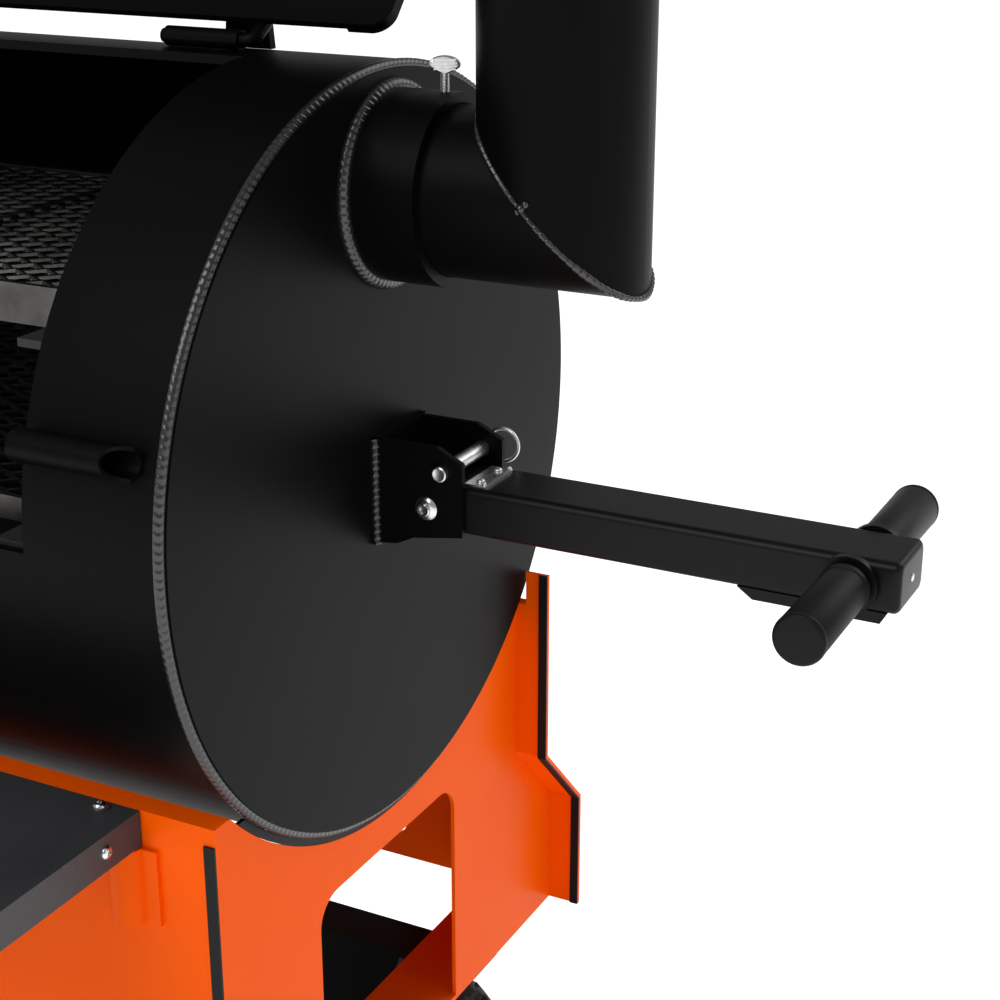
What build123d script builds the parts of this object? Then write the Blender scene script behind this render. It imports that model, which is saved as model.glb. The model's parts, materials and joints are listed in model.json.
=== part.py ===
"""Offset smoker on a sheet-metal cart, in millimetres, Z up.

Right is the chimney end (+X), front is the cooking-door side (-Y), and the floor is Z = 0.
Most positions are given from the drum's own point: the centre of its right end plate.
"""

import os
from math import cos, radians, sin

from build123d import *

# ---- driving dimensions ----
DRUM_POINT = (510.65, 67.5, 856.0)  # centre of the right end plate's outer face
DRUM_LENGTH = 914.0
DRUM_RADIUS = 254.0
WALL = 6.0
SHEET = 3.0
PLATE_RADIUS = DRUM_RADIUS - 4.0

DOOR_RIGHT = -97.0  # edges of the cooking door's opening, along the drum
DOOR_LEFT = -DRUM_LENGTH + 97.0
DOOR_LOW = 1.0  # degrees above the horizontal, at the front
DOOR_HIGH = 86.6

LID_GAP = 1.5
LID_OVERLAP = 87.0
LID_LOW = -3.0
LID_HIGH = 88.2
LID_OPEN = 138.0  # how far the lid stands open, in degrees
HINGE_Y = 6.0
HINGE_Z = 260.5

CHIMNEY_Z = 179.4
CHIMNEY_X = 119.0
TUBE_RADIUS = 52.8
TUBE_WALL = 3.0
COLLAR_BORE = 53.2
COLLAR_RADIUS = 59.6
COLLAR_LENGTH = 48.0
STACK_TOP = 660.0

SCREW_X = 38.4  # thumb screw in the chimney collar
PIN_X = 49.2  # lock pin in the handle bracket
PIN_Z = 5.5
PIVOT_X = 38.0
PIVOT_Z = -20.0
ARM_WIDTH = 50.0
ARM_HEIGHT = 32.0
ARM_START = 24.0
ARM_END = 341.0
EAR_THICK = 4.0
EAR_INNER = 25.6
CROSSBAR_X = 315.0
CROSSBAR_RADIUS = 11.0
GRIP_RADIUS = 15.5

PANEL_IN = 7.4  # cart end panels, in from the drum's ends
PANEL_TOP = -172.5
CART_LOW = -477.0
CART_FRONT = -208.5
CART_REAR = 189.5
CART_DEEP = 254.0
JOG_HIGH = -308.0
JOG_LOW = -375.0
CRADLE_RADIUS = 260.7

WHEEL_RADIUS = 165.0
WHEEL_WIDTH = 92.0
WHEEL_X = -172.0
WHEEL_YS = (-159.0, 205.0)
CASTER_RADIUS = 100.0
CASTER_X = -790.0
CASTER_TRAIL = 45.0

FIREBOX_LENGTH = 400.0
FIREBOX_HALF = 185.0
FIREBOX_TOP = 0.0
FIREBOX_LOW = -400.0

LEFT = -DRUM_LENGTH
FLOOR = -DRUM_POINT[2]


def at(x, y, z):
    """A point given from the drum's point."""
    return (DRUM_POINT[0] + x, DRUM_POINT[1] + y, DRUM_POINT[2] + z)


def across(x, y=0, z=0):
    """A plane across the drum: local x is +Y, local y is +Z, and it faces +X."""
    return Plane(origin=at(x, y, z), x_dir=(0, 1, 0), z_dir=(1, 0, 0))


def front(y, x=0, z=0):
    """A plane facing the front: local x is +X, local y is +Z, and it faces -Y."""
    return Plane(origin=at(x, y, z), x_dir=(1, 0, 0), z_dir=(0, -1, 0))


def level(z, x=0, y=0):
    """A level plane facing up."""
    return Plane(origin=at(x, y, z), x_dir=(1, 0, 0), z_dir=(0, 0, 1))


def lid_plane(x):
    """A plane across the lid at its hinge, turned back with the open lid."""
    turn = radians(LID_OPEN)
    return Plane(
        origin=at(x, HINGE_Y, HINGE_Z), x_dir=(0, cos(turn), -sin(turn)), z_dir=(1, 0, 0)
    )


def lid_point(radius, angle):
    """A point of the closed lid, seen from its hinge, at an angle above the front."""
    return (
        -radius * cos(radians(angle)) - HINGE_Y,
        radius * sin(radians(angle)) - HINGE_Z,
    )


def band(inner, outer, low, high, point=lid_point):
    """A flat face between two radii and two angles."""
    middle = (low + high) / 2
    with BuildSketch() as face:
        with BuildLine():
            ThreePointArc(point(outer, low), point(outer, middle), point(outer, high))
            Line(point(outer, high), point(inner, high))
            ThreePointArc(point(inner, high), point(inner, middle), point(inner, low))
            Line(point(inner, low), point(outer, low))
        make_face()
    return face.sketch


def drum_angle(radius, angle):
    """A point of the drum at an angle above the front."""
    return (-radius * cos(radians(angle)), radius * sin(radians(angle)))


# ---- drum ----
with BuildPart() as drum_shell:
    with BuildSketch(across(LEFT + WALL)):
        Circle(DRUM_RADIUS)
        Circle(DRUM_RADIUS - WALL, mode=Mode.SUBTRACT)
    extrude(amount=DRUM_LENGTH - 2 * WALL)
    with BuildSketch(across(DOOR_LEFT)):
        add(band(DRUM_RADIUS - 3 * WALL, DRUM_RADIUS + WALL, DOOR_LOW, DOOR_HIGH, drum_angle))
    extrude(amount=DOOR_RIGHT - DOOR_LEFT, mode=Mode.SUBTRACT)
    with Locations(Plane(origin=at(LEFT / 2, 0, -DRUM_RADIUS + WALL / 2))):
        Cylinder(17.4, 4 * WALL, mode=Mode.SUBTRACT)

PROBE_ANGLE = 15.5
PROBE_RADIUS = 10.0
PROBE_LENGTH = 79.0
THROAT_Z = -105.0
THROAT = (300.0, 110.0)

with BuildPart() as end_plate_right:
    with BuildSketch(across(-WALL)):
        Circle(PLATE_RADIUS)
        with Locations((0, CHIMNEY_Z)):
            Circle(TUBE_RADIUS - TUBE_WALL, mode=Mode.SUBTRACT)
    extrude(amount=WALL)

with BuildPart() as end_plate_left:
    with BuildSketch(across(LEFT)):
        Circle(PLATE_RADIUS)
        with Locations((0, THROAT_Z)):
            RectangleRounded(*THROAT, 20, mode=Mode.SUBTRACT)
    extrude(amount=WALL)

JAMB = 6.0
JAMB_DEPTH = 20.0
with BuildPart() as door_jamb:
    for x in (DOOR_RIGHT, DOOR_LEFT - JAMB):
        with BuildSketch(across(x)):
            add(band(
                DRUM_RADIUS - WALL - JAMB_DEPTH,
                DRUM_RADIUS - WALL,
                DOOR_LOW - 3,
                DOOR_HIGH + 1,
                drum_angle,
            ))
        extrude(amount=JAMB)

with BuildPart() as probe_port:
    middle = drum_angle(DRUM_RADIUS + PROBE_RADIUS, PROBE_ANGLE)
    with BuildSketch(across(DOOR_RIGHT + 3, *middle)):
        Circle(PROBE_RADIUS)
        Circle(PROBE_RADIUS - 2.5, mode=Mode.SUBTRACT)
    extrude(amount=PROBE_LENGTH)

HINGE_TUBE = 6.5
HINGE_ROD = 4.9
HINGE_XS = (-140.5, LEFT + 140.5)
HINGE_LENGTH = 57.0
with BuildPart() as hinge_tubes:
    for x in HINGE_XS:
        with BuildSketch(across(x - HINGE_LENGTH / 2, HINGE_Y, HINGE_Z)):
            Circle(HINGE_TUBE)
            Circle(HINGE_ROD + 0.3, mode=Mode.SUBTRACT)
        extrude(amount=HINGE_LENGTH)

STOP_Y = 40.0
STOP_THICK = 6.0
STOP_LOW = 250.9
STOP_HIGH = 295.0
STOP_XS = (-131.0, LEFT + 131.0)
with BuildPart() as lid_stops:
    for x in STOP_XS:
        with BuildSketch(front(STOP_Y + STOP_THICK, x)):
            with BuildLine():
                Polyline(
                    (-18, STOP_LOW), (18, STOP_LOW), (14, STOP_HIGH), (-14, STOP_HIGH), close=True
                )
            make_face()
        extrude(amount=STOP_THICK)

# ---- inside the drum ----
RAIL = 26.0
UPPER_Z = 121.0
LOWER_Z = 11.0
GRATE_LENGTH = 700.0
UPPER_HALF = 190.0
LOWER_HALF = 222.0
UPPER_CHORD = 214.0  # half-width of the drum where each pair of rails lies
LOWER_CHORD = 247.0
GRATE_MID = (DOOR_LEFT + DOOR_RIGHT) / 2
GRATE_THICK = 6.0
with BuildPart() as grate_rails:
    for z, chord in ((UPPER_Z, UPPER_CHORD), (LOWER_Z, LOWER_CHORD)):
        for x in (DOOR_LEFT, DOOR_RIGHT - RAIL):
            with Locations(Location(at(x, 0, z - GRATE_THICK / 2 - 0.4))):
                Box(RAIL, 2 * chord, 5, align=(Align.MIN, Align.CENTER, Align.MAX))


def make_grate(z, half, lip):
    """A cooking grate: a flat frame with crossing bars and an upright bar along its front."""
    with BuildPart() as grate:
        with Locations(Location(at(GRATE_MID, 0, z))):
            Box(GRATE_LENGTH, 2 * half, GRATE_THICK)
            Box(GRATE_LENGTH - 24, 2 * half - 24, GRATE_THICK, mode=Mode.SUBTRACT)
            with GridLocations(GRATE_LENGTH / 20, 0, 19, 1):
                Box(3, 2 * half - 20, 3)
            with GridLocations(0, 2 * half / 6, 1, 5):
                Box(GRATE_LENGTH - 20, 4, 3)
        with Locations(Location(at(GRATE_MID, -half, z - GRATE_THICK / 2))):
            Box(GRATE_LENGTH, 4, lip, align=(Align.CENTER, Align.MIN, Align.MIN))
    return grate


upper_grate = make_grate(UPPER_Z, UPPER_HALF, 24)
lower_grate = make_grate(LOWER_Z, LOWER_HALF, 15)

BAFFLE_Z = -175.0
with BuildPart() as baffle_plate:
    with Locations(Location(at(GRATE_MID - 20, 0, BAFFLE_Z))):
        Box(780, 330, 4)
        with GridLocations(130, 0, 5, 1):
            Cylinder(20, 12, mode=Mode.SUBTRACT)
    for x in (GRATE_MID - 380, GRATE_MID + 320):
        for y in (-130, 130):
            with Locations(Location(at(x, y, BAFFLE_Z - 2))):
                Box(30, 6, 29.5, align=(Align.CENTER, Align.CENTER, Align.MAX))

# ---- grease drain ----
DRAIN_X = -457.0
DRAIN_RADIUS = 17.0
VALVE_Z = -310.0
with BuildPart() as drain_pipe:
    with BuildSketch(level(-DRUM_RADIUS + 4, DRAIN_X)):
        Circle(DRAIN_RADIUS)
        Circle(DRAIN_RADIUS - 4, mode=Mode.SUBTRACT)
    extrude(amount=-86)
    with Locations(Location(at(DRAIN_X, 0, VALVE_Z))):
        Cylinder(22, 26)
        Cylinder(13, 30, mode=Mode.SUBTRACT)
    with BuildSketch(front(-21, DRAIN_X, VALVE_Z)):
        Circle(8)
    extrude(amount=12)

with BuildPart() as drain_lever:
    with BuildSketch(front(-33.3, DRAIN_X, VALVE_Z)):
        SlotCenterPoint((25, 0), (50, 0), 16)
        Circle(9)
        Rectangle(40, 14, align=(Align.MIN, Align.CENTER))
    extrude(amount=4)

# ---- chimney ----
with BuildPart() as chimney_collar:
    with BuildSketch(across(0, 0, CHIMNEY_Z)):
        Circle(COLLAR_RADIUS)
        Circle(COLLAR_BORE, mode=Mode.SUBTRACT)
    extrude(amount=COLLAR_LENGTH)
    with Locations(Location(at(SCREW_X, 0, CHIMNEY_Z + COLLAR_RADIUS))):
        Cylinder(3.4, 20, mode=Mode.SUBTRACT)

with BuildPart() as elbow_tube:
    with BuildSketch(across(1, 0, CHIMNEY_Z)):
        Circle(TUBE_RADIUS)
        Circle(TUBE_RADIUS - TUBE_WALL, mode=Mode.SUBTRACT)
    extrude(amount=CHIMNEY_X + 2 * TUBE_RADIUS)
    split(
        bisect_by=Plane(origin=at(CHIMNEY_X, 0, CHIMNEY_Z), z_dir=(1, 0, 1)),
        keep=Keep.BOTTOM,
    )

CAP_GAP = 1.0
CAP_RADIUS = 60.0
CAP_THICK = 4.0
CAP_PIN_Y = 66.0
CAP_PIN_Z = STACK_TOP + CAP_GAP + 2
with BuildPart() as stack_tube:
    with BuildSketch(level(STACK_TOP, CHIMNEY_X)):
        Circle(TUBE_RADIUS)
        Circle(TUBE_RADIUS - TUBE_WALL, mode=Mode.SUBTRACT)
    extrude(amount=-(STACK_TOP - CHIMNEY_Z + 2 * TUBE_RADIUS))
    split(
        bisect_by=Plane(origin=at(CHIMNEY_X, 0, CHIMNEY_Z), z_dir=(1, 0, 1)),
        keep=Keep.TOP,
    )
    for x in (CHIMNEY_X - 18, CHIMNEY_X + 13):
        with BuildSketch(across(x, CAP_PIN_Y, CAP_PIN_Z)):
            Circle(5)
            with Locations((-8, -12.5)):
                Rectangle(14, 20)
        extrude(amount=5)
    with BuildSketch(across(CHIMNEY_X - 18, CAP_PIN_Y, CAP_PIN_Z)):
        Circle(3)
    extrude(amount=36)

with BuildPart() as stack_cap:
    with Locations(Location(at(CHIMNEY_X, 0, STACK_TOP + CAP_GAP))):
        Cylinder(CAP_RADIUS, CAP_THICK, align=(Align.CENTER, Align.CENTER, Align.MIN))
    with Locations(Location(at(CHIMNEY_X, 0, STACK_TOP + CAP_GAP))):
        Box(20, 62, CAP_THICK, align=(Align.CENTER, Align.MIN, Align.MIN))
        Box(24, 78, CAP_THICK, align=(Align.CENTER, Align.MAX, Align.MIN))
    with BuildSketch(across(CHIMNEY_X - 12, CAP_PIN_Y, CAP_PIN_Z)):
        Circle(5)
        Circle(3.05, mode=Mode.SUBTRACT)
    extrude(amount=24)

SCREW_HEAD_Z = 249.0
SCREW_HEAD = (10.0, 11.5)  # radius and height
with BuildPart() as thumb_screw:
    with Locations(Location(at(SCREW_X, 0, SCREW_HEAD_Z))):
        Cylinder(*SCREW_HEAD, align=(Align.CENTER, Align.CENTER, Align.MIN))
    with Locations(Location(at(SCREW_X, 0, CHIMNEY_Z + TUBE_RADIUS + 0.6))):
        Cylinder(3, 17, align=(Align.CENTER, Align.CENTER, Align.MIN))

# ---- tow handle ----
EAR_OUT = EAR_INNER + EAR_THICK
BRACKET_LOW = -50.0
BRACKET_HIGH = 22.0
BRACKET_END = 64.0
BOLT_RADIUS = 5.0
BOLT_HEAD = 8.0
with BuildPart() as handle_bracket:
    for y in (-EAR_INNER, EAR_OUT):
        with BuildSketch(front(y)):
            with BuildLine():
                Polyline(
                    (0, BRACKET_HIGH),
                    (46, BRACKET_HIGH),
                    (BRACKET_END, 13),
                    (BRACKET_END, -36),
                    (28, -42),
                    (16, -48),
                    (0, BRACKET_LOW),
                    close=True,
                )
            make_face()
            with Locations((PIVOT_X, PIVOT_Z)):
                Circle(BOLT_RADIUS + 0.05, mode=Mode.SUBTRACT)
            with Locations((PIN_X, PIN_Z)):
                Circle(5.4, mode=Mode.SUBTRACT)
        extrude(amount=EAR_THICK)
    with Locations(Location(at(0, 0, BRACKET_LOW))):
        Box(
            EAR_THICK + 1,
            2 * EAR_INNER,
            BRACKET_HIGH - BRACKET_LOW,
            align=(Align.MIN, Align.CENTER, Align.MIN),
        )

with BuildPart() as pivot_bolt:
    with BuildSketch(front(EAR_OUT + 9, PIVOT_X, PIVOT_Z)):
        Circle(BOLT_RADIUS)
    extrude(amount=2 * EAR_OUT + 9)
    with BuildSketch(front(-EAR_OUT, PIVOT_X, PIVOT_Z)):
        Circle(BOLT_HEAD)
    extrude(amount=5)
    fillet(pivot_bolt.faces().sort_by(Axis.Y)[0].edges(), 4)
    with BuildSketch(front(EAR_OUT + 8, PIVOT_X, PIVOT_Z)):
        RegularPolygon(BOLT_HEAD, 6)
    extrude(amount=8)

BEAD = 5.5
COLLAR_BEAD = 7.0
with BuildPart() as weld_beads:
    for side, x in ((1, -WALL), (-1, LEFT + WALL)):
        with BuildSketch(Plane(origin=at(x, 0, 0), x_dir=(side, 0, 0), z_dir=(0, -1, 0))):
            with BuildLine():
                Line((0, PLATE_RADIUS), (BEAD, PLATE_RADIUS))
                RadiusArc((BEAD, PLATE_RADIUS), (0, PLATE_RADIUS + BEAD), -BEAD)
                Line((0, PLATE_RADIUS + BEAD), (0, PLATE_RADIUS))
            make_face()
        revolve(axis=Axis(at(0, 0, 0), (1, 0, 0)))
    collar_top = CHIMNEY_Z + COLLAR_RADIUS
    with BuildSketch(front(0)):
        with BuildLine():
            Line((0, collar_top), (COLLAR_BEAD, collar_top))
            RadiusArc((COLLAR_BEAD, collar_top), (0, collar_top + COLLAR_BEAD), -COLLAR_BEAD)
            Line((0, collar_top + COLLAR_BEAD), (0, collar_top))
        make_face()
    revolve(axis=Axis(at(0, 0, CHIMNEY_Z), (1, 0, 0)))
    for side in (-1, 1):
        with BuildSketch(level(BRACKET_LOW)):
            with BuildLine():
                Polyline(
                    (0, side * EAR_OUT), (5, side * EAR_OUT), (0, side * (EAR_OUT + 5)), close=True
                )
            make_face()
        extrude(amount=BRACKET_HIGH - BRACKET_LOW)

PIN_RADIUS = 5.0
RING_OUT = 9.0  # the ring's plane, out from the rear ear
RING_AHEAD = 9.0
RING_RADIUS = 11.0
RING_WIRE = 1.5
with BuildPart() as lock_pin:
    with BuildSketch(front(EAR_OUT + 14, PIN_X, PIN_Z)):
        Circle(PIN_RADIUS)
    extrude(amount=2 * EAR_OUT + 18)
    with Locations(Location(at(PIN_X, EAR_OUT + RING_OUT, PIN_Z))):
        Cylinder(1.6, 14, mode=Mode.SUBTRACT)
    with Locations(Location(at(PIN_X + RING_AHEAD, EAR_OUT + RING_OUT, PIN_Z), (90, 0, 0))):
        Torus(RING_RADIUS, RING_WIRE)

with BuildPart() as tow_arm:
    with BuildSketch(across(ARM_START, 0, PIVOT_Z)):
        RectangleRounded(ARM_WIDTH, ARM_HEIGHT, 5)
        RectangleRounded(ARM_WIDTH - 5, ARM_HEIGHT - 5, 2.5, mode=Mode.SUBTRACT)
    extrude(amount=ARM_END - ARM_START)
    with BuildSketch(front(40, PIVOT_X, PIVOT_Z)):
        Circle(BOLT_RADIUS + 0.05)
    extrude(amount=80, mode=Mode.SUBTRACT)
    with BuildSketch(front(40, CROSSBAR_X, PIVOT_Z)):
        Circle(CROSSBAR_RADIUS)
    extrude(amount=80, mode=Mode.SUBTRACT)
    with BuildSketch(front(-ARM_WIDTH / 2 + 6, 0, PIVOT_Z - ARM_HEIGHT / 2)):
        with BuildLine():
            Polyline((246, 0), (338, 0), (334, -7), (256, -7), close=True)
        make_face()
    extrude(amount=4)

with BuildPart() as arm_cap:
    with BuildSketch(across(ARM_END, 0, PIVOT_Z)):
        RectangleRounded(ARM_WIDTH, ARM_HEIGHT, 5)
    extrude(amount=4)
    fillet(arm_cap.faces().sort_by(Axis.X)[-1].edges(), 2)
    with BuildSketch(across(ARM_END, 0, PIVOT_Z)):
        Circle(2.5)
    extrude(amount=5.2)

with BuildPart() as strike_plate:
    with Locations(Location(at(67.5, 0, PIVOT_Z + ARM_HEIGHT / 2))):
        Box(15, 38, 2, align=(Align.CENTER, Align.CENTER, Align.MIN))
    for y in (-12, 12):
        with Locations(Location(at(68, y, PIVOT_Z + ARM_HEIGHT / 2 + 2))):
            Cylinder(2.6, 1.4, align=(Align.CENTER, Align.CENTER, Align.MIN))

BAR_HALF = 112.0
with BuildPart() as crossbar:
    with BuildSketch(front(BAR_HALF, CROSSBAR_X, PIVOT_Z)):
        Circle(CROSSBAR_RADIUS)
        Circle(CROSSBAR_RADIUS - 2.5, mode=Mode.SUBTRACT)
    extrude(amount=2 * BAR_HALF)
    for y in (ARM_WIDTH / 2 + 5, -ARM_WIDTH / 2):
        with BuildSketch(front(y, CROSSBAR_X, PIVOT_Z)):
            Circle(18)
            Circle(CROSSBAR_RADIUS, mode=Mode.SUBTRACT)
        extrude(amount=5)

GRIP_IN = 34.0
with BuildPart() as grips:
    for y in (BAR_HALF, -GRIP_IN):
        with BuildSketch(front(y, CROSSBAR_X, PIVOT_Z)):
            Circle(GRIP_RADIUS)
            Circle(CROSSBAR_RADIUS, mode=Mode.SUBTRACT)
        extrude(amount=BAR_HALF - GRIP_IN)

with BuildPart() as grip_caps:
    for side in (-1, 1):
        with BuildSketch(
            Plane(
                origin=at(CROSSBAR_X, side * BAR_HALF, PIVOT_Z), x_dir=(1, 0, 0), z_dir=(0, side, 0)
            )
        ):
            Circle(GRIP_RADIUS)
        extrude(amount=5)
    ends = grip_caps.faces().sort_by(Axis.Y)
    fillet([*ends[0].edges(), *ends[-1].edges()], 3.5)

# ---- cart ----
RIGHT_PANEL = -PANEL_IN
LEFT_PANEL = LEFT + PANEL_IN
REAR_LIP = 27.0


FOOT = 60.0
FOOT_THICK = 4.0
WINDOW_Y = -7.0
WINDOW_TOP = -286.0
WINDOW_WIDTH = 187.0
WINDOW_CORNER = 22.0


def make_end_panel(x, inward):
    """A cart end panel with its drum cradle, a large window and a flange along its foot."""
    with BuildPart() as panel:
        with BuildSketch(across(x)):
            with BuildLine():
                Polyline(
                    (CART_FRONT, PANEL_TOP - SHEET),
                    (CART_REAR, PANEL_TOP - SHEET),
                    (CART_REAR, JOG_HIGH),
                    (CART_DEEP, JOG_LOW),
                    (CART_DEEP, CART_LOW),
                    (CART_FRONT, CART_LOW),
                    close=True,
                )
            make_face()
            Circle(CRADLE_RADIUS, mode=Mode.SUBTRACT)
            with Locations((WINDOW_Y, WINDOW_TOP)):
                RectangleRounded(
                    WINDOW_WIDTH,
                    WINDOW_TOP - CART_LOW + 2 * WINDOW_CORNER,
                    WINDOW_CORNER,
                    align=(Align.CENTER, Align.MAX),
                    mode=Mode.SUBTRACT,
                )
        extrude(amount=inward * SHEET)
        with Locations(Location(at(x + inward * FOOT / 2, CART_FRONT, CART_LOW))):
            Box(
                FOOT,
                CART_DEEP - CART_FRONT,
                FOOT_THICK,
                align=(Align.CENTER, Align.MIN, Align.MIN),
            )
    return panel


end_panel_right = make_end_panel(RIGHT_PANEL, -1)
end_panel_left = make_end_panel(LEFT_PANEL, 1)

FLANGE = 23.0
with BuildPart() as front_panel:
    with BuildSketch(across(LEFT_PANEL)):
        with BuildLine():
            Polyline(
                (CART_FRONT - SHEET, CART_LOW),
                (CART_FRONT - SHEET, PANEL_TOP),
                (CART_FRONT + FLANGE, PANEL_TOP),
                (CART_FRONT + FLANGE, PANEL_TOP - SHEET),
                (CART_FRONT, PANEL_TOP - SHEET),
                (CART_FRONT, CART_LOW),
                close=True,
            )
        make_face()
    extrude(amount=RIGHT_PANEL - LEFT_PANEL)
    with BuildSketch(across(LEFT_PANEL)):
        Circle(CRADLE_RADIUS)
    extrude(amount=RIGHT_PANEL - LEFT_PANEL, mode=Mode.SUBTRACT)

REAR_TOP = -152.0
with BuildPart() as rear_panel:
    with BuildSketch(across(LEFT_PANEL - REAR_LIP)):
        with BuildLine():
            Polyline(
                (CART_REAR, REAR_TOP),
                (CART_REAR, JOG_HIGH),
                (CART_DEEP, JOG_LOW),
                (CART_DEEP, CART_LOW),
                (CART_DEEP + SHEET, CART_LOW),
                (CART_DEEP + SHEET, JOG_LOW + 1.2),
                (CART_REAR + SHEET, JOG_HIGH + 1.2),
                (CART_REAR + SHEET, REAR_TOP),
                close=True,
            )
        make_face()
    extrude(amount=RIGHT_PANEL - LEFT_PANEL + 2 * REAR_LIP)
    with BuildSketch(front(CART_DEEP + 20, LEFT / 2)):
        with Locations((-180, -425), (180, -425)):
            RectangleRounded(260, 60, 12)
    extrude(amount=60, mode=Mode.SUBTRACT)
    with BuildSketch(across(LEFT - 1)):
        Circle(CRADLE_RADIUS)
    extrude(amount=DRUM_LENGTH + 2, mode=Mode.SUBTRACT)

TRIM = 7.0
CRADLE_TRIM = (254.6, 260.4)  # the edging between the drum and each cradle
CRADLE_TRIM_TOP = -181.0
with BuildPart() as edge_trims:
    for x, side in ((RIGHT_PANEL + REAR_LIP, -1), (LEFT_PANEL - REAR_LIP, 1)):
        with Locations(Location(at(x + side * TRIM / 2, CART_REAR - 1.5, JOG_HIGH))):
            Box(TRIM, 1.5, REAR_TOP - JOG_HIGH, align=(Align.CENTER, Align.MIN, Align.MIN))
        with Locations(Location(at(x + side * TRIM / 2, CART_DEEP - 1.5, CART_LOW))):
            Box(TRIM, 1.5, JOG_LOW - CART_LOW, align=(Align.CENTER, Align.MIN, Align.MIN))
        corner = RIGHT_PANEL if side < 0 else LEFT_PANEL
        grow = Align.MAX if side < 0 else Align.MIN
        with Locations(Location(at(corner, CART_FRONT - SHEET, CART_LOW))):
            Box(8, 1.5, PANEL_TOP - CART_LOW - 12, align=(grow, Align.MAX, Align.MIN))
        with BuildSketch(across(corner)):
            Circle(CRADLE_TRIM[1])
            Circle(CRADLE_TRIM[0], mode=Mode.SUBTRACT)
            with Locations((0, CRADLE_TRIM_TOP)):
                Rectangle(
                    2 * CRADLE_RADIUS,
                    2 * CRADLE_RADIUS,
                    align=(Align.CENTER, Align.MIN),
                    mode=Mode.SUBTRACT,
                )
        extrude(amount=side * SHEET)

# ---- front shelf ----
SHELF_Z = -172.5
SHELF_RIGHT = -62.0
SHELF_LEFT = LEFT + 62.0
SHELF_DEPTH = 190.0
SHELF_BACK = CART_FRONT - SHEET - 0.5
SHELF_SCREW_IN = 24.0
SHELF_SCREW_BACK = 8.0
PAD_HEIGHT = 1.0
PEG_IN = 12.0  # pegs and sockets, in from the shelf's ends
PEG_LOW = -242.0
with BuildPart() as front_shelf:
    with Locations(Location(at((SHELF_RIGHT + SHELF_LEFT) / 2, SHELF_BACK, SHELF_Z))):
        Box(SHELF_RIGHT - SHELF_LEFT, SHELF_DEPTH, 24, align=(Align.CENTER, Align.MAX, Align.MAX))
    with Locations(Location(at((SHELF_RIGHT + SHELF_LEFT) / 2, SHELF_BACK - 2, SHELF_Z - 2))):
        Box(
            SHELF_RIGHT - SHELF_LEFT - 4,
            SHELF_DEPTH - 4,
            30,
            align=(Align.CENTER, Align.MAX, Align.MAX),
            mode=Mode.SUBTRACT,
        )
    for x in (SHELF_RIGHT - SHELF_SCREW_IN, SHELF_LEFT + SHELF_SCREW_IN):
        with Locations(Location(at(x, SHELF_BACK - SHELF_SCREW_BACK, SHELF_Z))):
            Cylinder(6.5, PAD_HEIGHT, align=(Align.CENTER, Align.CENTER, Align.MIN))
    for x in (SHELF_RIGHT - PEG_IN, SHELF_LEFT + PEG_IN):
        with BuildSketch(level(PEG_LOW, x, CART_FRONT - SHEET - 5)):
            Circle(4.6)
        extrude(amount=44)
        with Locations(Location(at(x, CART_FRONT - SHEET - 14, -198))):
            Box(12, 22, 4, align=(Align.CENTER, Align.CENTER, Align.MIN))

with BuildPart() as shelf_screws:
    for side, x in ((1, SHELF_RIGHT), (-1, SHELF_LEFT)):
        screw = at(x - side * SHELF_SCREW_IN, SHELF_BACK - SHELF_SCREW_BACK, SHELF_Z + PAD_HEIGHT)
        with Locations(Location(screw)):
            Cylinder(4.5, 3, align=(Align.CENTER, Align.CENTER, Align.MIN))
        with BuildSketch(
            Plane(origin=at(x, SHELF_BACK - 34, SHELF_Z - 11), x_dir=(0, 1, 0), z_dir=(side, 0, 0))
        ):
            Circle(4.5)
        extrude(amount=3)

SOCKET_RADIUS = 13.0
with BuildPart() as shelf_sockets:
    for x in (SHELF_RIGHT - PEG_IN, SHELF_LEFT + PEG_IN):
        with BuildSketch(level(PEG_LOW - 8, x, CART_FRONT - SHEET)):
            Circle(SOCKET_RADIUS)
            Circle(SOCKET_RADIUS - 2.5, mode=Mode.SUBTRACT)
            with Locations((0, 0)):
                Rectangle(40, 40, align=(Align.CENTER, Align.MIN), mode=Mode.SUBTRACT)
            with Locations((18, -1.5), (-18, -1.5)):
                Rectangle(12, 3)
        extrude(amount=52)

# ---- wheels ----
CASTER_WIDTH = 50.0
CASTER_AXLE_Z = FLOOR + CASTER_RADIUS
CASTER_PLATE_Z = CART_LOW - 5.0
CASTER_DROP = 95.0
CASTER_TOP = CASTER_PLATE_Z - CASTER_DROP
WHEEL_AT = CASTER_X - CASTER_TRAIL
AXLE_Z = FLOOR + WHEEL_RADIUS
AXLE_RADIUS = 8.0
AXLE_OUT = 62.0  # how far the axle passes each wheel's middle
NUT = 12.0
with BuildPart() as axle:
    with BuildSketch(front(WHEEL_YS[1] + AXLE_OUT, WHEEL_X, AXLE_Z)):
        Circle(AXLE_RADIUS)
    extrude(amount=WHEEL_YS[1] - WHEEL_YS[0] + 2 * AXLE_OUT)
    for y in (WHEEL_YS[0] - AXLE_OUT + NUT, WHEEL_YS[1] + AXLE_OUT):
        with BuildSketch(front(y, WHEEL_X, AXLE_Z)):
            RegularPolygon(14, 6)
        extrude(amount=NUT)

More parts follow.
